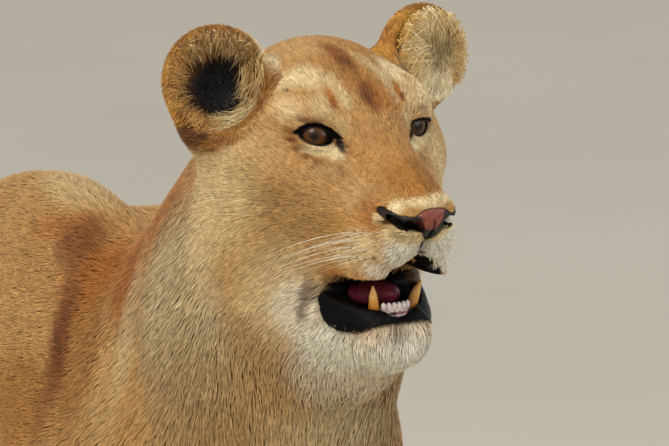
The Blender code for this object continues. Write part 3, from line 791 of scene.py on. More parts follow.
TRUNK_MARKS = [  # frame, colour, strength, place
    ("body", CREAM, .85, (0, 0, 5000), (5000, 1500, 850), .5),  # belly
    ("body", SAND, .7, (-1000, 0, 9800), (6000, 900, 800), .6),  # top of the back
    ("sides", CREAM, .6, (4300, 600, 4800), (1000, 400, 2000), .5),  # inner arm
    ("sides", CREAM, .6, (-3800, 600, 5200), (1400, 500, 2000), .5),  # inner thigh
    ("sides", SAND, .5, (4700, 1200, 1500), (1200, 1000, 3000), .5),  # foreleg
    ("sides", SAND, .5, (-4700, 1200, 1200), (1800, 1000, 2500), .5),  # hind leg
    ("body", BROWN, .8, (-9000, 900, 900), (1300, 900, 1100), .35),  # tail's tuft
    ("body", BLACK, .75, (-9300, 900, 700), (1400, 900, 1000), .35),
]
SHOULDER_MARKS = [
    ("sides", ORANGE, .75, (6400, 1050, 9850), (550, 500, 500), .5, (0, 40, 0)),
    ("sides", ORANGE, .95, (5700, 1100, 9300), (800, 600, 450), .4, (0, 40, 0)),
    ("sides", ORANGE, .95, (4900, 1100, 8950), (450, 600, 550), .45),
    ("sides", DARK_GOLD, .8, (5150, 1400, 8200), (450, 600, 700), .4),
    # Rust and brown stripes down the front of the shoulder: painted shadow in the crease between the
    # neck and the shoulder.
    ("sides", RUST, 1, (4680, 1400, 8200), (170, 600, 850), .5, (0, -6, 0)),
    ("sides", BROWN, .6, (4670, 1400, 8000), (90, 600, 600), .6, (0, -6, 0)),
    ("sides", ORANGE, .6, (4150, 1000, 9320), (550, 400, 140), .6, (0, -8, 0)),
    ("sides", RUST, .9, (4400, 1000, 9180), (220, 400, 240), .55),
    ("sides", PALE, .6, (3800, 750, 9650), (900, 500, 140), .6, (0, 8, 0)),
    ("sides", DARK_GOLD, .95, (4200, 1600, 7550), (600, 600, 550), .5),
    ("sides", SAND, .7, (6000, 1500, 8100), (300, 600, 650), .5),
    ("sides", PALE, .7, (6180, 1350, 8800), (160, 600, 600), .6),
    ("sides", GREY_SAND, .95, (7050, 1200, 9050), (660, 700, 1000), .4),
    ("sides", TAUPE, .75, (7200, 1000, 8000), (700, 700, 800), .5),
    ("sides", PALE, .85, (7350, 1200, 10100), (200, 500, 550), .5, (0, 10, 0)),
    ("sides", TAUPE, .7, (8000, 700, 8800), (500, 500, 500), .5),
    ("body", WHITE_FUR, .6, (8450, -200, 8400), (450, 600, 600), .5),  # throat
    ("body", GREY_SAND, .8, (7900, 100, 7750), (600, 800, 600), .5),
]
HEAD_MARKS = [
    ("faces", PALE, .75, (-600, 1150, -600), (450, 400, 600), .5),
    ("faces", PALE, .8, (-850, 1200, -1050), (220, 300, 700), .5, (0, 20, 0)),
    ("faces", PALE, .75, (-200, 750, -1500), (500, 300, 500), .5),  # jaw
    ("faces", WHITE_FUR, .65, (20, 660, -1650), (300, 240, 280), .5),
    ("faces", TAUPE, .4, (100, 750, -700), (350, 300, 300), .6),  # cheek
    ("faces", SAND, .6, (-300, 950, -150), (300, 300, 300), .6),  # temple
    # crown and forehead
    ("head", DARK_GOLD, .6, (-500, 100, 600), (800, 600, 300), .4),
    ("head", SAND, .6, (-850, -300, 650), (350, 300, 150), .6),
    ("faces", PALE, .8, (-660, 720, 440), (180, 140, 160), .5),
    ("faces", CREAM, .65, (-400, 600, 450), (140, 180, 140), .5),
    ("faces", CREAM, .75, (-300, 440, 480), (220, 140, 140), .5),
    ("faces", PALE, .8, (-100, 270, 450), (160, 80, 120), .5),
    ("faces", PALE, .8, (80, 240, 330), (120, 60, 120), .5),
    ("head", RUST, .9, (-420, -50, 640), (320, 90, 200), .5),
    ("head", BROWN, .8, (-240, -50, 580), (150, 70, 160), .5),
    ("head", RUST, 1, (110, -10, 360), (220, 90, 220), .45),
    ("head", BROWN, .9, (100, -20, 360), (120, 60, 120), .5),
    ("head", ORANGE, .65, (140, 140, 320), (180, 140, 180), .5),
    ("head", DARK_GOLD, .6, (-100, -100, 480), (200, 140, 140), .5),
    ("head", CREAM, .6, (-120, 460, 430), (300, 80, 140), .5, (0, 0, 18)),
    ("head", PALE, .6, (-260, 180, 560), (220, 80, 140), .5, (0, 0, 16)),
    ("head", DARK_GOLD, .6, (40, 420, 340), (140, 100, 140), .6),
    ("head", UMBER, .6, (-310, -670, 400), (30, 45, 50), .4),
    # round the eyes
    ("faces", PALE, .7, (40, 460, 280), (140, 140, 160), .5),
    ("faces", ORANGE, 1, (20, 352, 320), (130, 36, 130), .4),
    ("faces", RUST, .8, (65, 368, 280), (60, 30, 60), .5),
    ("faces", CREAM, .5, (-140, 760, 240), (180, 140, 120), .6),
    ("faces", PALE, .6, (205, 340, 100), (100, 75, 90), .6),
    ("faces", BROWN, .8, (45, 625, 170), (120, 130, 22), .5),
    ("faces", RUST, .8, (-80, 780, 55), (60, 50, 35), .6),
    ("faces", CREAM, .95, (155, 570, -110), (160, 210, 68), .4),
    ("faces", CREAM, .9, (260, 420, -150), (100, 100, 60), .5),
    ("faces", RUST, .95, (-60, 770, -30), (60, 45, 34), .5),
    ("faces", RUST, .95, (25, 725, -120), (60, 45, 34), .5),
    ("faces", RUST, .9, (100, 650, -180), (60, 50, 34), .5),
    ("faces", RUST, .75, (190, 570, -225), (70, 60, 32), .6),
    ("faces", RUST, .75, (330, 340, -145), (50, 35, 50), .6),
    ("faces", RUST, .6, (400, 440, -250), (80, 40, 60), .6),
    ("faces", TAUPE, .5, (300, 500, -300), (200, 200, 80), .6),
    # Her left brow and cheek are painted lighter: painted light on the far side of her face.
    ("head", CREAM, .7, (-40, 680, 260), (260, 140, 180), .5),  # far brow
    ("head", PALE, .75, (200, 700, -300), (440, 160, 440), .6),
    # bridge and muzzle
    ("head", DARK_GOLD, .45, (500, 0, -50), (400, 240, 200), .5),
    ("head", DARK_GOLD, 1, (980, 0, -240), (340, 300, 180), .45),
    ("head", ORANGE, .45, (1200, -100, -310), (140, 120, 60), .5),
    ("faces", DARK_GOLD, .6, (1080, 140, -290), (120, 100, 60), .6),
    ("faces", SAND, .6, (700, 430, -450), (200, 120, 150), .6),
    ("faces", ORANGE, .75, (880, 380, -600), (160, 120, 200), .6, (0, -20, 0)),
    ("head", CREAM, .85, (1300, 0, -385), (140, 300, 45), .4),
    ("faces", CREAM, .9, (1180, 280, -445), (100, 90, 65), .4),
    ("faces", CREAM, .8, (1000, 370, -560), (60, 60, 70), .5),
    ("faces", GOLD, .6, (700, 500, -800), (300, 140, 160), .6),
    ("faces", CREAM, .7, (880, 440, -880), (280, 140, 150), .6),
    ("faces", WHITE_FUR, .95, (1140, 140, -900), (160, 220, 200), .45),
    ("faces", CREAM, .85, (1180, 180, -710), (180, 220, 80), .4),
    ("faces", WHITE_FUR, .7, (960, 320, -1080), (200, 140, 90), .5),
    ("head", WHITE_FUR, .95, (1000, 340, -900), (340, 220, 260), .4),
    ("faces", ORANGE, .7, (460, 520, -1240), (200, 100, 80), .5),
    ("faces", PALE, .6, (600, 520, -1060), (220, 100, 80), .6),
    # lips and chin
    ("faces", UMBER, .75, (70, 560, -1580), (60, 140, 220), .6),
    ("faces", BROWN, .6, (300, 500, -1830), (200, 120, 40), .6),
    ("head", WHITE_FUR, 1, (720, 0, -1980), (480, 500, 290), .35),
    ("faces", WHITE_FUR, 1, (340, 500, -2000), (360, 260, 280), .4),
    ("head", BROWN, .5, (850, -40, -1745), (60, 100, 40), .6),
]
EARS = ((0, 0, 0), (500, 660, 680), 0.06)  # all of an ear
EAR_ZONE = np.array(EARS[1]) / TENTHS  # its radii in metres
NOTCH = (-36, 0, 0)  # how the marks by the ear's notch are turned
EAR_MARKS = [
    ("ears", DARK_GOLD, 1, *EARS),
    ("ears", UMBER, .9, (-320, 0, 120), (200, 400, 360), .3),  # behind
    ("right_ear", SAND, .9, (120, -340, 300), (300, 160, 220), .5),
    ("right_ear", ORANGE, .5, (120, -100, 500), (300, 300, 100), .5),
    ("right_ear", GOLD, .7, (100, 520, 50), (300, 80, 350), .5),
    ("right_ear", GOLD, .8, (120, -420, 40), (300, 100, 220), .5),
    ("right_ear", CREAM, .9, (0, -480, 220), (300, 140, 240), .5),
    ("right_ear", AMBER, .9, (100, 400, -300), (300, 140, 200), .5),
    ("right_ear", RUST, .6, (140, -500, -120), (300, 50, 220), .5),
    ("right_ear", CREAM, .8, (100, -220, -290), (300, 260, 50), .5, NOTCH),
    # A rust band under the cream lower rim: painted shadow under the ear's lower rim.
    ("right_ear", RUST, .8, (100, -220, -400), (300, 260, 60), .5, NOTCH),
    ("right_ear", BLACK, .85, (120, 100, -470), (300, 70, 100), .5),
    ("right_ear", BROWN, .85, (50, 260, -540), (300, 140, 160), .5),
    ("left_ear", AMBER, 1, (-50, -400, 200), (400, 260, 500), .4),
    ("left_ear", ORANGE, .5, (-50, -460, 140), (400, 80, 240), .5),
    ("left_ear", PALE, .6, (40, -360, -200), (400, 180, 240), .5),
    ("left_ear", PALE, .8, (100, 360, 100), (400, 180, 360), .5),
    ("left_ear", CREAM, .95, (100, 160, -440), (300, 100, 140), .5),
]
DARK_MARKS = [  # bare black skin and its margins
    ("head", BLACK, .97, (1240, -25, -830), (120, 34, 120), .35),
    ("head", BLACK, .97, (1160, 0, -960), (140, 55, 80), .35),
    ("head", UMBER, .9, (150, 500, -1430), (120, 100, 100), .35),
    ("faces", BLACK, .97, (180, 378, -32), (80, 46, 52), .4),
    ("faces", BLACK, .95, (225, 366, -75), (60, 38, 46), .4),
    ("faces", UMBER, .85, (265, 358, -115), (50, 28, 36), .5),
]
WHISKER_ROWS = [  # the first and last root of each row, and how many there are
    ((0.070, 0.0523, -0.0770), (0.102, 0.0390, -0.0710), 5),
    ((0.064, 0.0515, -0.0850), (0.104, 0.0380, -0.0780), 6),
    ((0.064, 0.0510, -0.0930), (0.104, 0.0380, -0.0860), 6),
    ((0.060, 0.0515, -0.1020), (0.100, 0.0400, -0.0950), 5),
]


def whisker_roots():
    """Where the whiskers of her left side grow, in the head's frame."""
    roots = []
    for first, last, count in WHISKER_ROWS:
        for share in np.linspace(0, 1, count):
            roots.append(np.array(first) * (1 - share) + np.array(last) * share)
    return np.array(roots)


def mottle(p, size):
    """A smooth uneven field between -1 and 1 with lumps of about this size."""
    q = p * (2 * math.pi / size)
    x, y, z = q.T
    found = np.sin(x + 1.7 * np.sin(0.61 * y + 1.3)) + np.sin(0.83 * y - 1.3 * np.sin(0.77 * z))
    found += np.sin(1.13 * z + 1.9 * np.sin(0.57 * x + 2.1)) + np.sin(0.71 * (x - y + z) + 0.6)
    return found / 4


def ear_hollows_in_light_and_shade(found, places):
    """Adds the ears' insides, one inside painted in shade and in light: painted shadow, deepening to
    black, in the hollow of her right ear, and pale fur in the left one's, brightened as painted light
    with painted shade between its hairs.
    """
    inside = fade(EAR_HOLLOW.distance(ear_space(places.head)), 0.0060, 0.0035)
    inside *= fade(places.faces[:, 1], 0.055, 0.070)
    hollow_shadow = Patch((-100, -80, -100), (800, 220, 270), 0.25)
    # Painted shadow: darker the deeper into the right ear's hollow, and black in its core.
    right = DARK_GOLD + (UMBER - DARK_GOLD) * fade(places.ears[:, 0], 0.010, -0.006)[:, None]
    right = towards(right, BLACK, hollow_shadow.mask(places.ears))
    shaded_gaps = Patch((0, 20, -120), (800, 180, 200), 0.4)
    # The left ear's pale fur is brightened 1.15 times as painted light; the brown between its hairs
    # is painted shade.
    left = 1.15 * CREAM + (BROWN - CREAM) * shaded_gaps.mask(places.ears)[:, None] * 0.4
    tone = np.where(places.head[:, 1:2] > 0, left, right)
    return towards(found, tone, inside)


def coat_colour(places, on_skin=False):
    """The colour of the coat at these places, or of the skin with its bare black parts."""
    found = places.mix(TAWNY, TRUNK_MARKS + SHOULDER_MARKS + HEAD_MARKS + EAR_MARKS)
    found = ear_hollows_in_light_and_shade(found, places)
    faces = places.faces
    roots = whisker_roots()
    near = np.nonzero(far_from(faces, roots.mean(0)) < 0.06)[0]
    if len(near):
        gap = np.linalg.norm(faces[near, None] - roots[None], axis=2).min(1)
        found[near] = towards(found[near], BROWN, 0.8 * fade(gap, 0.0026, 0.0012))
    uneven = sum(mottle(places.body, size) for size in (0.085, 0.031, 0.013)) / 3
    uneven += 0.8 * (mottle(places.body, 0.0075) + mottle(places.body + 0.4, 0.0045)) / 2
    in_ears = Patch(*EARS).mask(places.ears)
    uneven = uneven * (0.20 + 0.35 * in_ears)
    found = found * (1 + uneven[:, None] * np.array([0.8, 1.0, 1.2]))
    if on_skin:
        found = towards(found, BLACK, bare_share(places))
    return places.marked(found, DARK_MARKS)


# ---------------------------------------------------------------- meshes

def box_middle(node):
    low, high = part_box(node)
    return (low + high) / 2


def head_point(x, y, z):
    """A point of the head's frame in the modelling frame."""
    return EYES_AT + HEAD_TURN @ Vector((x, y, z))


def from_head(points):
    return np.array(EYES_AT) + np.asarray(points) @ np.array(HEAD_TURN).T


HEAD_PLACE = Matrix.Translation(EYES_AT) @ HEAD_TURN.to_4x4()
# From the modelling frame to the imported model's.
SHIFT = np.array(box_middle("left_eye") - head_point(*EYE_CENTRE))


def enlarged(values, times):
    """The grid of values with steps this many times finer, in straight lines between."""
    for axis in range(3):
        values = np.moveaxis(values, axis, 0)
        after = np.concatenate([values[1:], values[-1:]])
        steps = [values + (after - values) * np.float32(i / times) for i in range(times)]
        values = np.stack(steps, axis=1).reshape(-1, *values.shape[1:])
        values = np.moveaxis(values, 0, axis)
    return values


def surface(distance, low, high, cell, times=4):
    """Points and quads of the surface at distance zero, by way of a volume of small cells.

    A first pass with wider cells finds where the fine ones are needed."""
    low = np.array(low, float)
    blocks = np.ceil((np.array(high) - low) / cell / times).astype(int) + 1
    wide = distance(grid_points(low, blocks, times * cell)).reshape(blocks)
    value = enlarged(wide.astype(np.float32), times)
    picked = np.nonzero((np.abs(value) < 0.75 * times * cell + 2 * cell).ravel())[0]
    index = np.column_stack(np.unravel_index(picked, value.shape))
    value.ravel()[picked] = distance(low + cell * index)
    volume = openvdb.FloatGrid(FAR)
    volume.copyFromArray(np.ascontiguousarray(value / np.float32(cell)))
    points, _, quads = volume.convertToPolygons(0.0, 0.0)
    return low + cell * points.astype(float), quads


def grid_points(low, shape, cell):
    return low + cell * np.column_stack(np.unravel_index(np.arange(np.prod(shape)), shape))


def drawn_on(points, distance, rounds):
    """The points moved along the slope of this distance until they lie at its zero."""
    step = 0.0003
    for _ in range(rounds):
        here = distance(points)
        slope = [distance(points + step * axis) - here for axis in np.eye(3)]
        slope = np.stack(slope, axis=1) / step
        steep = np.maximum((slope**2).sum(1), 0.15)
        move = slope * (here / steep)[:, None]
        length = np.maximum(np.linalg.norm(move, axis=1), 1e-9)
        points = points - move * np.minimum(1, 0.004 / length)[:, None]
    return points


def mesh_points(mesh):
    points = np.empty(len(mesh.vertices) * 3)
    mesh.vertices.foreach_get("co", points)
    return points.reshape(-1, 3)


def mesh_normals(mesh):
    normals = np.empty(len(mesh.vertices) * 3)
    mesh.vertices.foreach_get("normal", normals)
    return normals.reshape(-1, 3)


def set_points(mesh, points):
    mesh.vertices.foreach_set("co", np.asarray(points, np.float32).ravel())
    mesh.update()


def mesh_of(name, points, faces):
    mesh = bpy.data.meshes.new(name)
    mesh.from_pydata(np.asarray(points).tolist(), [], np.asarray(faces).tolist())
    mesh.update()
    return mesh


def smooth_shaded(mesh):
    mesh.polygons.foreach_set("use_smooth", np.ones(len(mesh.polygons), bool))
    return mesh


def piece(name, mesh, material, slot, *nodes):
    """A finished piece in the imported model's frame, standing for these nodes."""
    mesh.name = name
    mesh.transform(Matrix.Translation(Vector(SHIFT)))
    mesh.materials.clear()
    mesh.materials.append(material)
    made = bpy.data.objects.new(name, mesh)
    bpy.context.scene.collection.objects.link(made)
    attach(made, "root")
    if nodes:
        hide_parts(*nodes)
    return made


def paint(mesh, colours, name="coat_colour"):
    """Gives the mesh a colour at each point."""
    rows = np.ones((len(mesh.vertices), 4), np.float32)
    rows[:, :3] = np.clip(colours, 0, 1)
    attribute = mesh.color_attributes.new(name, "FLOAT_COLOR", "POINT")
    attribute.data.foreach_set("color", rows.ravel())


def measure(mesh, name, values):
    """Gives the mesh a number at each point."""
    attribute = mesh.attributes.new(name, "FLOAT", "POINT")
    attribute.data.foreach_set("value", np.asarray(values, np.float32))


def bmesh_mesh(name, bm):
    mesh = bpy.data.meshes.new(name)
    bm.to_mesh(mesh)
    bm.free()
    return mesh


def thinned(mesh, keep, share):
    """The mesh with about this share of its triangles, fewest where keep is 0."""
    holder = bpy.data.objects.new("holder", mesh)
    bpy.context.scene.collection.objects.link(holder)
    group = holder.vertex_groups.new(name="thin")
    for weight in np.unique(keep):
        group.add(np.nonzero(keep == weight)[0].tolist(), float(1 - weight), "REPLACE")
    modifier = holder.modifiers.new("Decimate", "DECIMATE")
    modifier.ratio = share
    modifier.vertex_group = "thin"
    modifier.vertex_group_factor = 1.0
    graph = bpy.context.evaluated_depsgraph_get()
    made = bpy.data.meshes.new_from_object(holder.evaluated_get(graph))
    bpy.data.objects.remove(holder)
    return made


# ---------------------------------------------------------------- skin

SKIN_CELL = 0.0034
SKIN_BOX = ((-0.93, -0.22, -0.02), (1.02, 0.22, 1.23))
SKIN_TRIANGLES = 150000
FINE_ZONES = [  # where the skin is divided further: centre, radius and how often
    ((0.000, 0.052, 0.000), 0.030, 2),
    ((0.115, 0.020, -0.058), 0.042, 2),
    ((0.050, 0.030, -0.150), 0.060, 1),
]


def divided(mesh, zones):
    """The mesh with its edges halved inside the zones of the face."""
    bm = bmesh.new()
    bm.from_mesh(mesh)
    for turn in range(max(zone[2] for zone in zones)):
        bm.verts.ensure_lookup_table()
        at = mirrored(to_head(np.array([v.co for v in bm.verts])))
        inside = np.zeros(len(at), bool)
        for centre, radius, times in zones:
            if turn < times:
                inside |= far_from(at, centre) < radius / (1 + 0.3 * turn)
        edges = [e for e in bm.edges if inside[e.verts[0].index] and inside[e.verts[1].index]]
        bmesh.ops.subdivide_edges(bm, edges=edges, cuts=1, use_grid_fill=True)
        bmesh.ops.triangulate(bm, faces=[f for f in bm.faces if len(f.verts) > 4])
        bm.verts.index_update()
    return bmesh_mesh("skin", bm)


def skin_mesh():
    points, quads = surface(skin_form, *SKIN_BOX, SKIN_CELL)
    mesh = mesh_of("skin", points, quads)
    places = Places(points)
    keep = fade(far_from(places.head, (0.02, 0, -0.05)), 0.26, 0.16)
    keep = np.round(0.9 * keep, 1)
    mesh = thinned(mesh, keep, SKIN_TRIANGLES / (2 * len(quads)))
    mesh = divided(mesh, FINE_ZONES)
    points = mesh_points(mesh)
    near = np.nonzero(far_from(to_head(points), MUZZLE_ROOT) < 0.20)[0]
    points[near] = drawn_on(points[near], skin_form, 2)
    set_points(mesh, points)
    return smooth_shaded(mesh)


# ---------------------------------------------------------------- eyes

IRIS_RADIUS = 0.0116
PUPIL_RADIUS = 0.0036
CORNEA_RISE = 0.0012
GAZE = {1: (-16, 0), -1: (8, 9)}  # where each eye looks: turns outwards and upwards in degrees


def set_in_head(bm, side):
    """Places a bmesh made for her left side in the head's frame, turned over if side is -1."""
    if side < 0:
        bmesh.ops.scale(bm, verts=bm.verts, vec=(1, -1, 1))
        bmesh.ops.reverse_faces(bm, faces=bm.faces[:])
    bmesh.ops.transform(bm, matrix=HEAD_PLACE, verts=bm.verts[:])


def eyeball(side):
    """A ball whose poles lie on the line of sight, with the cornea raised on it."""
    bm = bmesh.new()
    bmesh.ops.create_uvsphere(bm, u_segments=56, v_segments=44, radius=EYE_RADIUS - 0.0002)
    out, up = (math.radians(angle) for angle in GAZE[side])
    gaze = (math.cos(up) * math.cos(out), math.cos(up) * math.sin(out), math.sin(up))
    turn = Vector(EYE_TURN @ np.array(gaze)).to_track_quat("Z", "Y").to_matrix()
    off_axis = []
    around = []
    for vert in bm.verts:
        radius = math.hypot(vert.co.x, vert.co.y)
        front = vert.co.z > 0
        off_axis.append(radius if front else 2 * EYE_RADIUS - radius)
        around.append(math.atan2(vert.co.y, vert.co.x))
        if front and radius < IRIS_RADIUS:
            vert.co *= 1 + CORNEA_RISE / EYE_RADIUS * (1 - (radius / IRIS_RADIUS) ** 2)
    bmesh.ops.transform(bm, matrix=turn.to_4x4(), verts=bm.verts[:])
    bmesh.ops.translate(bm, verts=bm.verts, vec=EYE_CENTRE)
    set_in_head(bm, side)
    mesh = bmesh_mesh("eyeball", bm)
    measure(mesh, "off_axis", off_axis)
    measure(mesh, "around", around)
    return smooth_shaded(mesh)


def ring_tube(line, radii, sides=10, closed=True):
    """A tube along a line of points, closed on itself or drawn to its ends."""
    line = np.asarray(line, float)
    if closed:
        along = np.roll(line, -1, 0) - np.roll(line, 1, 0)
    else:
        along = np.gradient(line, axis=0)
    along /= np.linalg.norm(along, axis=1)[:, None]
    across = np.cross(along, [0.31, 0.17, 0.93])
    across /= np.linalg.norm(across, axis=1)[:, None]
    up = np.cross(along, across)
    angle = np.arange(sides) * 2 * math.pi / sides
    ring = (
        across[:, None] * np.cos(angle)[None, :, None] + up[:, None] * np.sin(angle)[None, :, None]
    )
    points = (line[:, None] + ring * np.asarray(radii)[:, None, None]).reshape(-1, 3)
    count = len(line)
    faces = []
    for i in range(count if closed else count - 1):
        j = (i + 1) % count
        for k in range(sides):
            m = (k + 1) % sides
            faces.append((i * sides + k, i * sides + m, j * sides + m, j * sides + k))
    if not closed:
        faces.append(tuple(range(sides))[::-1])
        faces.append(tuple((count - 1) * sides + k for k in range(sides)))
    return points, faces


def lid_line(side, steps=40):
    """The edge of the lids round one eye, mirrored onto the left, in the head's frame."""
    share = (1 - np.cos(np.pi * np.arange(1, steps) / steps)) / 2
    low, high = lid_heights(side, share)
    inner, outer = LIDS[side][0][0], LIDS[side][1][0]
    out = inner + (outer - inner) * share
    out = np.radians(np.concatenate([out, out[::-1]]))
    up = np.radians(np.concatenate([high, low[::-1]]))
    line = np.column_stack([np.cos(up) * np.cos(out), np.cos(up) * np.sin(out), np.sin(up)])
    return np.array(EYE_CENTRE) + (EYE_RADIUS + 0.0010) * line @ EYE_TURN.T


def lid_edge(side):
    line = lid_line(side)
    radii = np.full(len(line), 0.0008)
    points, faces = ring_tube(line, radii)
    mesh = mesh_of("lid_edge", points, faces)
    bm = bmesh.new()
    bm.from_mesh(mesh)
    bmesh.ops.recalc_face_normals(bm, faces=bm.faces[:])
    set_in_head(bm, side)
    return smooth_shaded(bmesh_mesh("lid_edge", bm))


# ---------------------------------------------------------------- nose, mouth and teeth

ORGAN_CELL = 0.0009
TOOTH_CELL = 0.0007
TONGUE_CELL = 0.0012
GUM_CELL = 0.001


def in_the_head(distance, low, high, cell):
    """A closed mesh of the distance given in the head's frame."""
    points, quads = surface(distance, low, high, cell)
    return smooth_shaded(mesh_of("organ", from_head(points), quads))


def nose_distance(q):
    outside = fine_form(from_head(q))
    pores = 0.00022 * mottle(q, 0.0021) + 0.00018 * mottle(q + 0.3, 0.0034)
    pad = meet(outside + 0.0002, leather_distance(mirrored(q)), 0.0035)
    groove = Limb(
        [(0.138, 0, -0.054, 0.0004, 0.004), (0.128, 0, -0.076, 0.0010, 0.006)],
        (-0.4, 0, -1),
    ).distance(q)
    return carve(pad, groove, 0.0015) + pores


def nose_leather():
    low, high = (0.082, -0.050, -0.082), (0.152, 0.050, -0.030)
    mesh = in_the_head(nose_distance, low, high, ORGAN_CELL)
    q = to_head(mesh_points(mesh))
    height = np.clip((q[:, 2] + 0.0700) / 0.030, 0.0, 1.0)
    width = 0.0020 + 0.0145 * height
    pink = fade(np.abs(q[:, 1] + 0.0025 + 0.002 * mottle(q, 0.012)), width + 0.002, width - 0.002)
    pink *= fade(q[:, 2], -0.0670, -0.0600) * fade(q[:, 2], -0.0385, -0.0410)
    rose = linear("#70392d") * (1 + 0.25 * mottle(q, 0.009)[:, None])
    black = linear("#0a0808")
    paint(mesh, towards(black, rose, pink))
    return mesh


def tongue():
    """A tongue that fills the floor of the mouth."""
    low, high = (-0.020, -0.030, -0.175), (0.066, 0.030, -0.140)
    return in_the_head(
        lambda q: massed(q, TONGUE) + 0.00025 * mottle(q, 0.0032), low, high, TONGUE_CELL
    )


GUMS = Limb(
    [
        (0.0560, 0, -0.1690, 0.0300, 0.0060),
        (0.0640, 0, -0.1680, 0.0255, 0.0065),
        (0.0710, 0, -0.1675, 0.0170, 0.0060),
    ],
    (1, 0, 0),
    soft=0.004,
    cap=0.004,
)


def gums():
    """The pink gum that the lower front teeth stand in."""
    low, high = (0.045, -0.036, -0.180), (0.082, 0.036, -0.155)
    return in_the_head(lambda q: GUMS.distance(q) + 0.0002 * mottle(q, 0.005), low, high, GUM_CELL)


def canine(side):
    low, high = (0.045, -0.040, -0.182), (0.080, 0.040, -0.128)
    return in_the_head(lambda q: CANINE.distance(q * [1, side, 1]), low, high, TOOTH_CELL)


def incisors():
    low, high = (0.055, -0.022, -0.174), (0.080, 0.022, -0.150)
    return in_the_head(lambda q: massed(q, INCISORS), low, high, TOOTH_CELL)


def tooth_ages(mesh):
    """Marks how near each point is to the gum, where enamel is stained."""
    q = to_head(mesh_points(mesh))
    measure(mesh, "to_tip", fade(q[:, 2], -0.172, -0.136))
    return mesh


# ---------------------------------------------------------------- claws and whiskers

def claw_places():
    """Where each claw leaves its toe: point, and size of the paw."""
    found = []
    for side in (1, -1):
        for x, y, size in (
            (0.478 + FORE_SHIFT[side], 0.117 * side, 1.0),
            (-0.462 + HIND_SHIFT[side], 0.115 * side, 0.92),
        ):
            for toe in (-1.5, -0.5, 0.5, 1.5):
                back = 0.016 * (abs(toe) - 0.5)
                point = (x + (0.082 - back + 0.0265) * size, y + 0.0290 * toe * size, 0.0260)
                found.append((Vector(point), size, toe))
    return found


def claws():
    """Short hooked tips, drawn back into the toes as a walking cat carries them."""
    bm = bmesh.new()
    for point, size, toe in claw_places():
        before = len(bm.verts)
        bmesh.ops.create_cone(
            bm, cap_ends=True, segments=10, radius1=0.0026 * size, radius2=0.0003, depth=0.010
        )
        bm.verts.ensure_lookup_table()
        long = {e for v in bm.verts[before:] for e in v.link_edges if e.calc_length() > 0.008}
        bmesh.ops.subdivide_edges(bm, edges=list(long), cuts=5)
        bm.verts.ensure_lookup_table()
        verts = bm.verts[before:]
        for vert in verts:
            vert.co.x -= 32.0 * (vert.co.z + 0.005) ** 2
        turn = Euler((0, math.radians(118), math.radians(5 * toe))).to_matrix()
        bmesh.ops.rotate(bm, verts=verts, cent=(0, 0, 0), matrix=turn)
        bmesh.ops.translate(bm, verts=verts, vec=point)
    bmesh.ops.recalc_face_normals(bm, faces=bm.faces[:])
    return smooth_shaded(bmesh_mesh("claws", bm))


def whiskers(rng):
    """Long stiff hairs in rows on the upper lip."""
    all_points, all_faces = [], []
    for side in (1, -1):
        for root in whisker_roots():
            far_back = (0.112 - root[0]) / 0.05
            length = 0.050 + 0.055 * far_back * rng.uniform(0.7, 1.1)
            way = np.array([-0.62 - 0.2 * far_back, 0.62 + 0.1 * rng.uniform(-1, 1), -0.22])
            way = way + rng.normal(0, 0.07, 3)
            way /= np.linalg.norm(way)
            add_hair(all_points, all_faces, root * [1, side, 1], way * [1, side, 1], length, -0.18)
    points = from_head(np.concatenate(all_points))
    return smooth_shaded(mesh_of("whiskers", points, all_faces))


def add_hair(all_points, all_faces, root, way, length, droop, radius=0.00024):
    """A tapering hair that leaves its root along way and bends down by droop of its length."""
    share = np.linspace(-0.05, 1, 9)[:, None]
    line = root + way * length * share + np.array([0, 0, droop * length]) * share**2
    radii = radius * (1.05 - np.linspace(0, 1, 9)) + 0.00004
    points, faces = ring_tube(line, radii, sides=4, closed=False)
    start = sum(len(p) for p in all_points)
    all_points.append(points)
    all_faces.extend([tuple(start + i for i in face) for face in faces])


# ---------------------------------------------------------------- coat

LENGTHS = [  # how long the tufts are
    ("body", 0.034, 1, *BELLY),
    ("body", 0.024, 1, (6400, 0, 8600), (1100, 1600, 2200), .35),  # neck
    ("body", 0.032, 1, (7000, 0, 8000), (1100, 1000, 1500), .35),  # throat
    ("sides", 0.012, 1, *FORELEGS),
    ("sides", 0.012, 1, *HIND_LEGS),
    ("body", 0.008, 1, *PAWS),
    ("body", 0.016, 1, *LONG_TAIL),
    ("body", 0.045, 1, *TAIL_TUFT),
    ("head", 0.01, 1, (-200, 0, -300), (1700, 1400, 1300), .25),
    ("head", 0.007, 1, (600, 0, -300), (900, 800, 800), .35),
    ("faces", 0.022, 1, (-750, 900, -1200), (550, 500, 750), .4),
    ("faces", 0.014, 1, *JAW),
    ("head", 0.005, 1, (1180, 0, -450), (250, 500, 200), .4),
    ("faces", 0.007, 1, (1000, 200, -1000), (400, 400, 300), .4),
    ("head", 0.028, 1, (600, 0, -2080), (450, 500, 260), .35),
    ("ears", 0.01, 1, *WHOLE_EAR),
]
DENSITIES = [  # tufts on each square metre
    ("body", 250e3, 1, (4000, -1000, 8200), (1600, 1200, 2000), .3),  # near shoulder
    ("body", 260e3, 1, (6400, 0, 8400), (1200, 1700, 2400), .3),
    ("head", 560e3, 1, (-200, 0, -500), (1700, 1500, 1700), .25),
    ("head", 700e3, 1, (600, 0, -300), (1000, 800, 800), .3),
    ("head", 420e3, 1, (600, 0, -2080), (450, 500, 300), .35),
]
EVEN_LENGTH = 0.013
EVEN_DENSITY = 120e3
REARMOST = CAD_BOX[0][0] + 0.0004 - SHIFT[0]  # no hair of the tail's tuft reaches past this


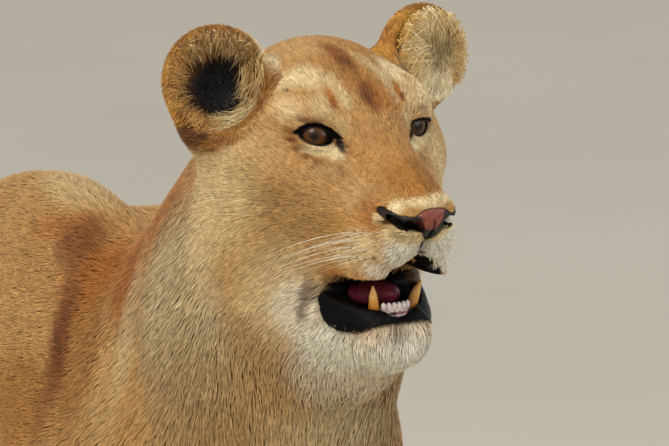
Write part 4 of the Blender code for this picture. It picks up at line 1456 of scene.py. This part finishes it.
def lie_of_coat(places, normals):
    """The way the coat lies, along the skin."""
    body, faces, q = places.body, places.faces, places.head
    side = np.sign(body[:, 1])
    way = np.zeros((len(body), 3)) + [-1.0, 0.0, -0.30]
    down = np.array([-0.12, 0.0, -1.0])
    way = towards(way, down, fade(body[:, 2], 0.62, 0.50))
    neck = np.zeros((len(body), 3)) + [-0.62, 0.0, -0.85]
    neck[:, 1] = 0.10 * side
    share = fade(body[:, 0], 0.44, 0.56) * fade(body[:, 2], 0.55, 0.66)
    way = towards(way, neck, share)
    front = np.array([0.05, 0.0, -1.0])
    share *= fade(normals[:, 0], 0.1, 0.7)
    way = towards(way, front, share)
    tail = np.array([-0.16, 0.05, -1.0])
    share = fade(body[:, 0], -0.600, -0.630) * fade(body[:, 2], 0.88, 0.80)
    way = towards(way, tail, share)
    # From the nose the coat fans out over the face, and from the mouth down over the chin.
    turn = np.array(HEAD_TURN).T
    fan = unit(q - [0.150, 0.0, -0.060])
    cheeks = fade(q[:, 2], -0.04, -0.12) * fade(q[:, 0], 0.02, -0.05)
    fan[:, 2] -= 0.75 * cheeks
    fan[:, 1] += 0.25 * np.sign(q[:, 1]) * cheeks
    chin = unit(q - [0.045, 0.0, -0.130])
    share = fade(q[:, 2], -0.150, -0.172) * fade(q[:, 0], -0.02, 0.02)
    fan = towards(fan, chin, share)
    lip = q - [0.128, 0.0, -0.075]
    lip[:, 2] -= 0.02
    pad = Patch((950, 280, -980), (450, 350, 300), 0.3).mask(faces)
    fan = towards(fan, unit(lip), pad)
    ear = places.ears
    outward = (ear + [0.0, 0.030, 0.045]) @ turn_matrix(EAR_TURN).T
    outward[:, 1] *= np.sign(q[:, 1])
    share = fade(np.linalg.norm(ear / EAR_ZONE, axis=1), 1.15, 0.85)
    fan = towards(fan, unit(outward), share)
    share = fade(far_from(q, (-0.01, 0, -0.05)), 0.215, 0.150)
    share *= fade(q[:, 0] + 0.35 * q[:, 2], -0.170, -0.125)
    way = towards(way, fan @ turn, share)
    # Small waves keep neighbouring tufts from lying quite alike.
    for axis, size in ((0, 0.043), (1, 0.037), (2, 0.051)):
        way[:, axis] += 0.12 * mottle(body + 0.17 * axis, size)
    way -= normals * (way * normals).sum(1)[:, None]
    return unit(way)


def roots_on(mesh, rng):
    """Random places on the skin, with its normals there, as thick as the coat grows."""
    points, normals = mesh_points(mesh), mesh_normals(mesh)
    mesh.calc_loop_triangles()
    corners = np.empty(3 * len(mesh.loop_triangles), np.int32)
    mesh.loop_triangles.foreach_get("vertices", corners)
    corners = corners.reshape(-1, 3)
    a, b, c = (points[corners[:, i]] for i in range(3))
    areas = np.linalg.norm(np.cross(b - a, c - a), axis=1) / 2
    middle = Places((a + b + c) / 3)
    density = middle.level(EVEN_DENSITY, DENSITIES) * (1 - bare_share(middle))
    density *= fade(EAR_HOLLOW.distance(ear_space(middle.head)), 0.0005, 0.003) * 0.999 + 0.001
    density *= middle.body[:, 2] > SOLE_LEVEL + 0.002
    wanted = areas * density
    counts = (wanted + rng.random(len(wanted))).astype(int)
    pick = np.repeat(np.arange(len(counts)), counts)
    u, v = rng.random((2, len(pick)))
    over = u + v > 1
    u[over], v[over] = 1 - u[over], 1 - v[over]
    w = 1 - u - v
    tri = corners[pick]
    share = np.stack([w, u, v], axis=1)[:, :, None]
    roots = (points[tri] * share).sum(1)
    out = (normals[tri] * share).sum(1)
    return roots, unit(out)


ROOT_SUNK = 0.0006  # how far a tuft starts under the skin
TIP_SUNK = 0.0004  # how far its tip stays inside the form


class Coat:
    """Tapered tufts: each has two points at its root, two or four on the way, and its tip."""

    def __init__(self, roots, out, way, length, width, depth, colour, unwrap, rows=2):
        count = len(roots)
        self.rows = rows
        self.unwrap = unwrap
        steps = np.linspace(0, 1, rows + 1)
        across = np.cross(out, way)
        rise = np.linspace(0, 1, rows + 1) ** 0.8
        points = []
        shades = []
        for i, share in enumerate(steps):
            centre = roots + way * (length * share)[:, None]
            wanted = -depth[:, 0] + (depth[:, 1] - TIP_SUNK) * rise[i]
            if i == 0:
                centre = centre - out * ROOT_SUNK
            else:
                level = fine_form(centre)
                shift = np.clip(wanted - level, -0.02, 0.02)
                centre = centre + out * shift[:, None]
            if i < rows:
                half = width * (0.5 if i else 0.36) * (1 - 0.25 * (i == 2))
                points += [centre - across * half[:, None], centre + across * half[:, None]]
                shades += [0.84 + 0.16 * share] * 2
            else:
                points.append(centre)
                shades.append(1.08)
        self.points = np.stack(points, axis=1)
        self.points[:, :, 0] = np.maximum(self.points[:, :, 0], REARMOST)
        self.points[:, :, 2] = np.maximum(self.points[:, :, 2], SOLE_LEVEL + 0.0003)
        self.colours = colour[:, None] * np.array(shades)[None, :, None]
        self.count = count

    def mesh(self, name):
        """The tufts as one mesh, with their colours and their places on the skin's unwrap."""
        corners = 2 * self.rows + 1
        last = corners - 1
        start = (np.arange(self.count) * corners)[:, None]
        quads = [[2 * i + 1, 2 * i, 2 * i + 2, 2 * i + 3] for i in range(self.rows - 1)]
        tip = [2 * self.rows - 1, 2 * self.rows - 2, last]
        loops = np.concatenate([start + q for q in quads] + [start + tip], axis=1)
        sizes = np.tile([4] * len(quads) + [3], self.count)
        mesh = bpy.data.meshes.new(name)
        mesh.vertices.add(self.count * corners)
        mesh.vertices.foreach_set("co", self.points.astype(np.float32).ravel())
        mesh.loops.add(loops.size)
        mesh.loops.foreach_set("vertex_index", loops.astype(np.int32).ravel())
        mesh.polygons.add(len(sizes))
        starts = np.concatenate([[0], np.cumsum(sizes)[:-1]])
        mesh.polygons.foreach_set("loop_start", starts.astype(np.int32))
        mesh.update(calc_edges=True)
        paint(mesh, self.colours.reshape(-1, 3))
        patch = np.array([[x, y] for y in range(self.rows) for x in (0, 1)] + [[0.5, self.rows]])
        patch = (patch / [1, self.rows] - 0.5) * UNWRAP_PATCH
        spread = (self.unwrap[:, None] + patch[None]).reshape(-1, 2)
        layer = mesh.uv_layers.new(name="OFBake")
        layer.data.foreach_set("uv", spread[loops.ravel()].astype(np.float32).ravel())
        return smooth_shaded(mesh)


UNWRAP_PATCH = 0.003


def round_unwrap(q, centre):
    """The skin opened out like a globe seen from its front pole, for the head and the ears."""
    d = q - centre
    angle = np.arccos(np.clip(d[:, 0] / np.linalg.norm(d, axis=1), -1, 1)) / math.pi
    turn = np.arctan2(d[:, 2], d[:, 1])
    return 0.5 + 0.485 * angle[:, None] * np.column_stack([np.cos(turn), np.sin(turn)])


def tube_unwrap(along, across, up):
    """The skin opened out like a tube's: the turn about its line, and the way along it."""
    turn = np.arctan2(across, up) / (2 * math.pi) + 0.5
    along = (along - along.min()) / max(np.ptp(along), 1e-6)
    turn = (turn - turn.min()) / max(np.ptp(turn), 1e-6)
    return 0.01 + 0.98 * np.column_stack([turn, along])


HAUNCH_END = -0.19  # where the haunch and the shoulder go over into the flank
SHOULDER_END = 0.26


def coat_regions(places):
    """Which piece of the coat each place belongs to."""
    x, y, z = places.body.T
    q = places.head
    ear = np.linalg.norm(places.ears / EAR_ZONE, axis=1) < 1.02
    ear &= places.faces[:, 1] > 0.062
    head = far_from(q, (-0.01, 0, -0.06)) < 0.205
    head &= q[:, 0] + 0.35 * q[:, 2] > -0.155
    names = np.full(len(x), "", dtype="U24")
    for side, here in (("left", y > 0), ("right", y <= 0)):
        names[here] = f"coat_{side}_flank"
        names[here & (x < HAUNCH_END)] = f"coat_{side}_haunch"
        names[here & (x > SHOULDER_END)] = f"coat_{side}_shoulder"
        names[here & (x + 0.55 * z > 0.99)] = f"coat_{side}_neck"
    names[(z < 0.50) & (x > SHOULDER_END)] = "coat_forelegs"
    names[(z < 0.48) & (x < -0.15)] = "coat_hind_legs"
    names[(x < -0.622) & (np.abs(y - 0.05) < 0.10)] = "coat_tail"
    muzzle = q[:, 0] > 0.03
    names[head & muzzle] = "coat_muzzle"
    names[head & ~muzzle & (q[:, 2] > -0.03)] = "coat_crown"
    names[head & ~muzzle & (q[:, 2] <= -0.03)] = "coat_cheeks"
    names[ear & head] = "coat_ears"
    return names


def unwrapped(name, places):
    """Where the roots of one piece of the coat lie on the skin opened out flat."""
    x, y, z = places.body.T
    if name in ("coat_muzzle", "coat_crown", "coat_cheeks"):
        return round_unwrap(places.head, np.array([-0.03, 0.0, -0.06]))
    if name == "coat_ears":
        ear = places.ears
        flat = 0.5 + np.column_stack([ear[:, 1], ear[:, 2]]) / 0.30
        flat[:, 0] = 0.5 + np.sign(places.head[:, 1]) * (0.02 + 0.46 * (flat[:, 0] - 0.2))
        face = np.where(ear[:, 0] > -0.01, 0.5, -0.5)
        flat[:, 1] = 0.5 + face * (0.02 + 0.9 * (flat[:, 1] - 0.2))
        return np.clip(flat, 0.005, 0.995)
    if name == "coat_tail":
        return tube_unwrap(z, x + 0.735 + 0.05 * z, y - 0.03)
    if name in ("coat_forelegs", "coat_hind_legs"):
        centre = 0.45 if name == "coat_forelegs" else -0.46
        flat = tube_unwrap(z, x - centre, np.abs(y) - 0.12)
        flat[:, 0] = 0.5 * flat[:, 0] + 0.5 * (y > 0)
        return np.clip(flat, 0.005, 0.995)
    return tube_unwrap(x, y, z - 0.74)


TUFT_SHARE = 1.0


def coat_meshes(mesh, rng):
    """The whole coat, piece by piece."""
    roots, out = roots_on(mesh, rng)
    keep = rng.random(len(roots)) < TUFT_SHARE
    roots, out = roots[keep], out[keep]
    places = Places(roots)
    way = lie_of_coat(places, out)
    length = places.level(EVEN_LENGTH, LENGTHS) * rng.uniform(0.7, 1.25, len(roots))
    swing = rng.normal(0, 0.16, len(roots))
    across = np.cross(out, way)
    way = way * np.cos(swing)[:, None] + across * np.sin(swing)[:, None]
    tilt = rng.normal(0, 0.22, len(roots))
    rolled = out * np.cos(tilt)[:, None] + across * np.sin(tilt)[:, None]
    depth = np.maximum(-fine_form(roots), 0.0002)
    tips = depth * rng.uniform(0.72, 1.04, len(roots))
    for _ in range(3):
        ends = roots + way * length[:, None]
        over = fine_form(ends) > np.where(ends[:, 0] < -0.9, 0.0, 0.003)
        length[over] *= 0.6
    by_lids = np.nonzero(far_from(places.faces, EYE_CENTRE) < 0.035)[0]
    room = 0.0012 + 0.6 * np.maximum(lid_distance(places.head[by_lids]), 0)
    length[by_lids] = np.minimum(length[by_lids], room)
    length = np.minimum(length, 0.0015 + 0.6 * np.maximum(PHILTRUM.distance(places.faces), 0))
    width = (0.0006 + 0.034 * length) * rng.uniform(0.75, 1.3, len(roots)) / TUFT_SHARE**0.5
    colour = coat_colour(places)
    shade = 1 + 0.15 * rng.normal(0, 1, len(roots))
    colour = colour * np.clip(shade, 0.6, 1.4)[:, None]
    names = coat_regions(places)
    for name in sorted(set(names)):
        at = np.nonzero(names == name)[0]
        rows = 3 if name.endswith("_neck") or name == "coat_cheeks" else 2
        made = Coat(
            roots[at],
            rolled[at],
            way[at],
            length[at],
            width[at],
            np.column_stack([depth[at], tips[at]]),
            colour[at],
            unwrapped(name, Places(roots[at])),
            rows,
        )
        yield name, made.mesh(name)


# Seen from the front of an ear, angles run from its outer side over its top to the inner side.
EAR_HAIRS = [
    # side, count, angles, shares of the outline, swing, unevenness, lengths, darkest, lightest
    (-1, 300, (40, 145), (0.80, 0.96), 0, 28, (0.012, 0.024), "#3c2412", "#b08444"),
    (-1, 170, (50, 140), (0.66, 0.90), 10, 38, (0.010, 0.020), "#b08c54", "#e8d098"),
    (-1, 260, (-45, 40), (0.80, 0.96), -15, 30, (0.010, 0.018), "#643e1c", "#c4944e"),
    (-1, 60, (-30, 40), (0.66, 0.82), -20, 35, (0.008, 0.016), "#8a6434", "#c8a468"),
    (-1, 170, (-95, -45), (0.72, 0.96), 0, 35, (0.008, 0.016), "#845428", "#d8ac62"),
    (-1, 150, (148, 195), (0.60, 0.92), -60, 24, (0.012, 0.024), "#9c7438", "#dcc088"),
    (-1, 36, (150, 186), (0.52, 0.62), -70, 14, (0.014, 0.024), "#c0a468", "#e4d09c"),
    (-1, 320, (205, 268), (0.64, 0.90), -78, 20, (0.010, 0.020), "#a88850", "#f0e0b0"),
    (1, 560, (140, 236), (0.34, 0.84), 14, 38, (0.018, 0.044), "#c09848", "#f4e4b4"),
    (1, 200, (110, 200), (0.80, 0.96), 20, 38, (0.008, 0.020), "#a87428", "#dcb464"),
    (1, 380, (45, 140), (0.55, 0.92), 25, 36, (0.012, 0.028), "#b89450", "#f4e6b8"),
    (1, 260, (-50, 45), (0.76, 0.95), 0, 25, (0.008, 0.018), "#a8803f", "#d8bc80"),
    (1, 260, (232, 300), (0.62, 0.94), 0, 20, (0.016, 0.030), "#d0be90", "#f0e6c8"),
]
EAR_SPAN = (0.054, 0.056)


def ear_hairs(rng):
    """Long hairs that grow from the margins of each ear over its hollow."""
    all_points, all_faces, colours = [], [], []
    turn = turn_matrix(EAR_TURN)
    middle = turn.T @ (np.array(EAR_HOLLOW.centre) - np.array(EAR_CENTRE))
    for side, count, angles, shares, swing, uneven, lengths, dark, light in EAR_HAIRS:
        for _ in range(count):
            angle = math.radians(rng.uniform(*angles))
            share = rng.uniform(*shares)
            across = share * EAR_SPAN[0] * math.cos(angle)
            up = share * EAR_SPAN[1] * math.sin(angle)
            inside = 1 - ((across - middle[1]) / 0.044) ** 2 - ((up - middle[2]) / 0.046) ** 2
            deep = min(middle[0] - 0.040 * math.sqrt(max(inside, 0.0)), 0.013)
            way = angle + math.pi + math.radians(swing + rng.normal(0, uneven))
            length = rng.uniform(*lengths)
            end = np.array([across + length * math.cos(way), up + length * math.sin(way)])
            tone = linear(dark) + (linear(light) - linear(dark)) * rng.uniform(0, 1) ** 1.2
            lift = rng.uniform(-0.05, 0.25)
            if np.linalg.norm(end / EAR_SPAN) > 0.92:
                continue
            root = turn @ np.array([deep, across, up])
            if side > 0:
                root = root / LEFT_EAR_STRETCH + LEFT_EAR_RISE
            line = turn @ np.array([lift, math.cos(way), math.sin(way)])
            line /= np.linalg.norm(line)
            flip = np.array([1, side, 1])
            root = (np.array(EAR_CENTRE) + root) * flip
            add_hair(all_points, all_faces, root, line * flip, length, -0.12, 0.00034)
            colours += [tone] * len(all_points[-1])
    points = from_head(np.concatenate(all_points))
    mesh = mesh_of("ear_hairs", points, all_faces)
    paint(mesh, np.array(colours))
    return smooth_shaded(mesh)


# ---------------------------------------------------------------- materials

def add(tree, kind, settings=None, **links):
    """Adds a node of this kind with its settings, and links or sets its inputs by name."""
    node = tree.nodes.new(kind)
    for key, value in (settings or {}).items():
        setattr(node, key, value)
    for key, value in links.items():
        numbered = key[1:].isdigit()
        socket = node.inputs[int(key[1:]) if numbered else key.replace("_", " ")]
        if isinstance(value, bpy.types.NodeSocket):
            tree.links.new(value, socket)
        else:
            socket.default_value = value
    return node


def finish_named(name, **constants):
    """A material with a Principled shader whose even values are set on its own sockets."""
    material = bpy.data.materials.new(name)
    material.use_nodes = True
    shader = material.node_tree.nodes["Principled BSDF"]
    for key, value in constants.items():
        shader.inputs[key.replace("_", " ")].default_value = value
    return material, material.node_tree, shader


def ramp(tree, source, stops):
    """A colour ramp over (place, hex colour) stops."""
    node = add(tree, "ShaderNodeValToRGB", Fac=source)
    elements = node.color_ramp.elements
    while len(elements) < len(stops):
        elements.new(0.5)
    for element, (place, colour) in zip(elements, stops):
        element.position = place
        element.color = (*linear(colour), 1)
    return node.outputs["Color"]


def noise(tree, size, detail=2.0, stretch=(1, 1, 1)):
    """Noise with lumps of about this size in metres, on the object's own coordinates."""
    coordinates = add(tree, "ShaderNodeTexCoord").outputs["Object"]
    placed = add(tree, "ShaderNodeMapping", Vector=coordinates, Scale=stretch).outputs[0]
    node = add(tree, "ShaderNodeTexNoise", Vector=placed, Scale=1 / size, Detail=detail)
    return node.outputs["Fac"]


def scaled(tree, source, low, high):
    """A value of about 0.3 to 0.7 brought to low to high."""
    node = add(tree, "ShaderNodeMapRange", _0=source, _1=0.3, _2=0.7, _3=low, _4=high)
    return node.outputs[0]


def bump(tree, shader, height, distance, strength=1.0):
    node = add(tree, "ShaderNodeBump", Height=height, Distance=distance, Strength=strength)
    tree.links.new(node.outputs[0], shader.inputs["Normal"])


def painted(tree, name="coat_colour"):
    return add(tree, "ShaderNodeAttribute", {"attribute_name": name}).outputs


def computed(tree, operation, *values):
    """The result of a Math node."""
    inputs = {f"_{i}": value for i, value in enumerate(values)}
    return add(tree, "ShaderNodeMath", {"operation": operation}, **inputs).outputs[0]


def blended(tree, share, a, b):
    """A value between a and b."""
    return add(tree, "ShaderNodeMix", {"data_type": "FLOAT"}, _0=share, _2=a, _3=b).outputs[0]


def multiplied(tree, colour, factor):
    node = add(tree, "ShaderNodeVectorMath", {"operation": "SCALE"}, _0=colour, Scale=factor)
    return node.outputs[0]


def fur_coat():
    """Guard hairs: matt, with a faint silky sheen; each tuft a little lighter or darker."""
    material, tree, shader = finish_named(
        "lion_fur", Roughness=0.62, Specular_IOR_Level=0.25, Sheen_Weight=0.12, Sheen_Roughness=0.4
    )
    uneven = scaled(tree, noise(tree, 0.006, 3.0), 0.84, 1.16)
    tree.links.new(multiplied(tree, painted(tree)["Color"], uneven), shader.inputs["Base Color"])
    return material


def skin_under_fur():
    """Skin with the short underfur that shows between tufts, darkened by a fine grain as painted
    shade between them; bare and moist on the lips.
    """
    material, tree, shader = finish_named("short_fur_and_skin", Specular_IOR_Level=0.05)
    grain = noise(tree, 0.0016, 4.0, (0.35, 1, 1))
    # The grain darkens the furred skin down to 0.62 of its colour: painted shade between the tufts.
    uneven = scaled(tree, grain, 0.62, 1.02)
    bare = painted(tree, "bare")["Fac"]
    shade = blended(tree, bare, uneven, 1.0)
    colour = multiplied(tree, painted(tree)["Color"], shade)
    tree.links.new(colour, shader.inputs["Base Color"])
    folds = noise(tree, 0.004, 3.0)
    moist = scaled(tree, folds, 0.30, 0.55)
    tree.links.new(blended(tree, bare, 0.85, moist), shader.inputs["Roughness"])
    bump(tree, shader, computed(tree, "ADD", grain, folds), 0.0008, 0.6)
    return material


def wet_eye():
    """Amber iris with fine spokes under a wet clear cornea, in a dark brown ball."""
    material, tree, shader = finish_named(
        "wet_eye", Roughness=0.30, Specular_IOR_Level=0.1, Coat_Weight=0.22, Coat_Roughness=0.05
    )
    off_axis = painted(tree, "off_axis")["Fac"]
    share = computed(tree, "DIVIDE", off_axis, 1.25 * IRIS_RADIUS)
    around = painted(tree, "around")["Fac"]
    spokes = add(
        tree,
        "ShaderNodeTexNoise",
        {"noise_dimensions": "2D"},
        Vector=add(tree, "ShaderNodeCombineXYZ", _0=around, _1=share).outputs[0],
        Scale=9.0,
        Detail=4.0,
    ).outputs["Fac"]
    wavy = computed(tree, "MULTIPLY_ADD", spokes, 0.10, share)
    pupil = PUPIL_RADIUS / IRIS_RADIUS / 1.25
    stops = [(0.0, "#140b05"), (pupil, "#180d06"), (pupil + 0.14, "#3c220c"), (0.62, "#4a2c10")]
    stops += [(0.78, "#301c0a"), (0.88, "#100805"), (1.0, "#0c0807")]
    colours = ramp(tree, wavy, stops)
    fibre = scaled(tree, spokes, 0.75, 1.25)
    tree.links.new(multiplied(tree, colours, fibre), shader.inputs["Base Color"])
    return material


def two_toned(name, lumps, tones, gloss, relief=None, fine=None, **constants):
    """A finish that runs from one tone to another over its lumps.

    gloss is its lowest and highest roughness, relief the depth and strength of its bumps, and
    fine the noise that both follow instead of the lumps."""
    material, tree, shader = finish_named(name, **constants)
    lumps = noise(tree, *lumps)
    fine = noise(tree, *fine) if fine else lumps
    tree.links.new(ramp(tree, lumps, tones), shader.inputs["Base Color"])
    tree.links.new(scaled(tree, fine, *gloss), shader.inputs["Roughness"])
    if relief:
        bump(tree, shader, fine, *relief)
    return material


def moist_black_skin():
    """Hairless black skin at the edge of the lids, finely creased and wet."""
    tones = [(0.3, "#070505"), (0.7, "#151010")]
    shine = {"Specular_IOR_Level": 0.2}
    return two_toned("moist_black_skin", (0.0012, 3.0), tones, (0.22, 0.42), (0.0004, 0.5), **shine)


def nose_skin():
    """Nose leather: pebbled, damp, rose in the middle and black round the nostrils."""
    material, tree, shader = finish_named("nose_leather", Specular_IOR_Level=0.3)
    coordinates = add(tree, "ShaderNodeTexCoord").outputs["Object"]
    pebbles = add(
        tree, "ShaderNodeTexVoronoi", {"feature": "SMOOTH_F1"}, Vector=coordinates, Scale=620.0
    ).outputs["Distance"]
    uneven = scaled(tree, noise(tree, 0.003, 3.0), 0.75, 1.25)
    tree.links.new(multiplied(tree, painted(tree)["Color"], uneven), shader.inputs[0])
    tree.links.new(scaled(tree, noise(tree, 0.0015, 2.0), 0.28, 0.50), shader.inputs["Roughness"])
    bump(tree, shader, pebbles, -0.0007, 0.8)
    return material


def tongue_flesh():
    """Moist tongue, rough with small backward points."""
    tones = [(0.3, "#420f18"), (0.7, "#742a38")]
    points = (0.0012, 2.0, (0.6, 1, 1))
    depth = {"Subsurface_Weight": 0.15, "Subsurface_Scale": 0.004}
    shine = {"Specular_IOR_Level": 0.15, "Coat_Weight": 0.06}
    name, lumps = "tongue_flesh", (0.010, 3.0)
    return two_toned(name, lumps, tones, (0.30, 0.55), (0.0007, 0.8), points, **depth, **shine)


def gum_flesh():
    """Gum: smooth, wet, dusky pink with dark pigment blotches."""
    material, tree, shader = finish_named("gum_flesh", Coat_Weight=0.6, Coat_Roughness=0.10)
    blotches = noise(tree, 0.006, 3.0)
    tree.links.new(ramp(tree, blotches, [(0.40, "#2a1418"), (0.62, "#a2645c")]), shader.inputs[0])
    tree.links.new(scaled(tree, blotches, 0.25, 0.45), shader.inputs["Roughness"])
    bump(tree, shader, noise(tree, 0.0030, 2.0), 0.0004, 0.5)
    return material


def stained_enamel():
    """Old tooth enamel: amber brown by the gum, ivory at the tip, with fine cracks along it."""
    material, tree, shader = finish_named("stained_enamel", Coat_Weight=0.3, Coat_Roughness=0.12)
    to_tip = painted(tree, "to_tip")["Fac"]
    streaks = noise(tree, 0.0014, 3.0, (1, 1, 0.18))
    shift = computed(tree, "MULTIPLY_ADD", streaks, 0.35, to_tip)
    stops = [(0.15, "#6c3810"), (0.45, "#a0601a"), (0.85, "#b47a28"), (1.0, "#c0924c")]
    tree.links.new(ramp(tree, shift, stops), shader.inputs[0])
    tree.links.new(scaled(tree, streaks, 0.18, 0.38), shader.inputs["Roughness"])
    bump(tree, shader, streaks, 0.0002, 0.5)
    return material


def pale_enamel():
    """Small front teeth: greyish ivory in uneven tones."""
    tones = [(0.30, "#a89488"), (0.65, "#d8ccc4")]
    wet = {"Coat_Weight": 0.4, "Coat_Roughness": 0.10}
    return two_toned("pale_enamel", (0.0030, 3.0), tones, (0.25, 0.45), (0.0003, 0.4), **wet)


def claw_horn():
    """Claw horn: mottled from dark brown to greyish brown, finely bumped."""
    tones = [(0.3, "#2e241c"), (0.7, "#85735c")]
    wet = {"Coat_Weight": 0.3, "Coat_Roughness": 0.2}
    return two_toned("claw_horn", (0.0012, 3.0), tones, (0.25, 0.45), (0.0003, 0.5), **wet)


def stiff_white_hair():
    """Whisker: a stiff white bristle, faintly yellow and glossy."""
    tones = [(0.3, "#c4baa0"), (0.7, "#e4dcc8")]
    shine = {"Specular_IOR_Level": 0.5}
    return two_toned("stiff_white_hair", (0.012, 2.0), tones, (0.28, 0.45), (0.0001, 0.3), **shine)


def plain_floor():
    """A matt pale studio floor."""
    tones = [(0.2, "#c9c0ae"), (0.8, "#d1c9b8")]
    return two_toned("pale_floor", (0.9, 3.0), tones, (0.75, 0.9), Specular_IOR_Level=0.2)


# ---------------------------------------------------------------- the animal

OWN_PIECES = ["left_eye", "right_eye", "left_canine", "right_canine"]
OWN_PIECES += ["lower_incisors", "tongue", "nose"]  # the nodes that are not flesh


def build_lioness():
    rng = np.random.default_rng(7)
    fur = fur_coat()
    skin = skin_mesh()
    places = Places(mesh_points(skin))
    coat = list(coat_meshes(skin, rng))
    # The skin is painted at 0.8 of the coat's colour: painted shade in the gaps between the tufts.
    paint(skin, coat_colour(places, True) * 0.80)
    measure(skin, "bare", bare_share(places))
    flesh = [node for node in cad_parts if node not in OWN_PIECES]
    piece("skin", skin, skin_under_fur(), "tawny_coat", *flesh)
    for name, mesh in coat:
        piece(name, mesh, fur, "dark_coat" if name == "coat_tail" else "tawny_coat")
    piece("ear_hairs", ear_hairs(rng), fur, "tawny_coat")
    eye, lid = wet_eye(), moist_black_skin()
    enamel, gum = stained_enamel(), gum_flesh()
    for side, side_name in ((1, "left"), (-1, "right")):
        piece(f"{side_name}_eyeball", eyeball(side), eye, "eye", f"{side_name}_eye")
        piece(f"{side_name}_lid_edge", lid_edge(side), lid, "eye")
        piece(
            f"{side_name}_lower_canine",
            tooth_ages(canine(side)),
            enamel,
            "tooth_enamel",
            f"{side_name}_canine",
        )
    piece("nose_pad", nose_leather(), nose_skin(), "nose_leather", "nose")
    piece("tongue_top", tongue(), tongue_flesh(), "tongue_flesh", "tongue")
    piece("lower_gum", gums(), gum, "tongue_flesh")
    piece("front_teeth", incisors(), pale_enamel(), "tooth_enamel", "lower_incisors")
    piece("toe_claws", claws(), claw_horn(), "tooth_enamel")
    piece("whiskers", whiskers(rng), stiff_white_hair(), "tawny_coat")


# ---------------------------------------------------------------- camera, light and floor

def floor():
    bm = bmesh.new()
    bmesh.ops.create_grid(bm, x_segments=1, y_segments=1, size=40.0)
    made = bpy.data.objects.new("studio_floor", bmesh_mesh("studio_floor", bm))
    made.data.materials.append(plain_floor())
    bpy.context.scene.collection.objects.link(made)
    made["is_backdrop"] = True


def camera():
    """Seven metres off her right front quarter, a little above her eyes, with a long lens."""
    turn, rise = math.radians(28.8), math.radians(9.0)
    level = math.cos(rise)
    back = Vector((level * math.cos(turn), -level * math.sin(turn), math.sin(rise)))
    right = Vector((math.sin(turn), math.cos(turn), 0.0))
    up = back.cross(right)
    eyes = EYES_AT + Vector(SHIFT)
    data = bpy.data.cameras.new("camera")
    data.sensor_width = 36.0
    data.lens = LENS
    data.clip_start = 0.1
    data.clip_end = 200.0
    made = bpy.data.objects.new("camera", data)
    made.location = eyes + 7.0 * back
    target = eyes - 0.0300 * right - 0.0881 * up
    made.rotation_euler = (made.location - target).to_track_quat("Z", "Y").to_euler()
    bpy.context.scene.collection.objects.link(made)
    bpy.context.scene.camera = made


LENS = 36.0 * 7.0 * 1042 / 669  # mm; her head fills the frame as if seen from close by


def lamp(name, place, target, size, power, colour="#ffffff"):
    data = bpy.data.lights.new(name, "AREA")
    data.shape = "DISK"
    data.size = size
    data.energy = power
    data.color = linear(colour)
    made = bpy.data.objects.new(name, data)
    made.location = place
    made.rotation_euler = (Vector(place) - Vector(target)).to_track_quat("Z", "Y").to_euler()
    bpy.context.scene.collection.objects.link(made)


def lights():
    lamp("key_light", (2.4, -3.3, 4.0), (0.5, 0, 0.9), 2.6, 190, "#fff8ee")
    lamp("fill_light", (3.8, 2.2, 2.4), (0.7, 0, 0.9), 3.0, 70, "#f8f8ff")
    world = bpy.data.worlds.new("studio_air")
    world.use_nodes = True
    background = world.node_tree.nodes["Background"]
    background.inputs["Color"].default_value = (*linear("#eef0f2"), 1)
    background.inputs["Strength"].default_value = 0.80
    bpy.context.scene.world = world
    bpy.context.scene.view_settings.view_transform = "Standard"


build_lioness()
floor()
camera()
lights()
sizes = {"cad": CAD_BOX, "visual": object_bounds()}
{key: [list(corner) for corner in box] for key, box in sizes.items()}
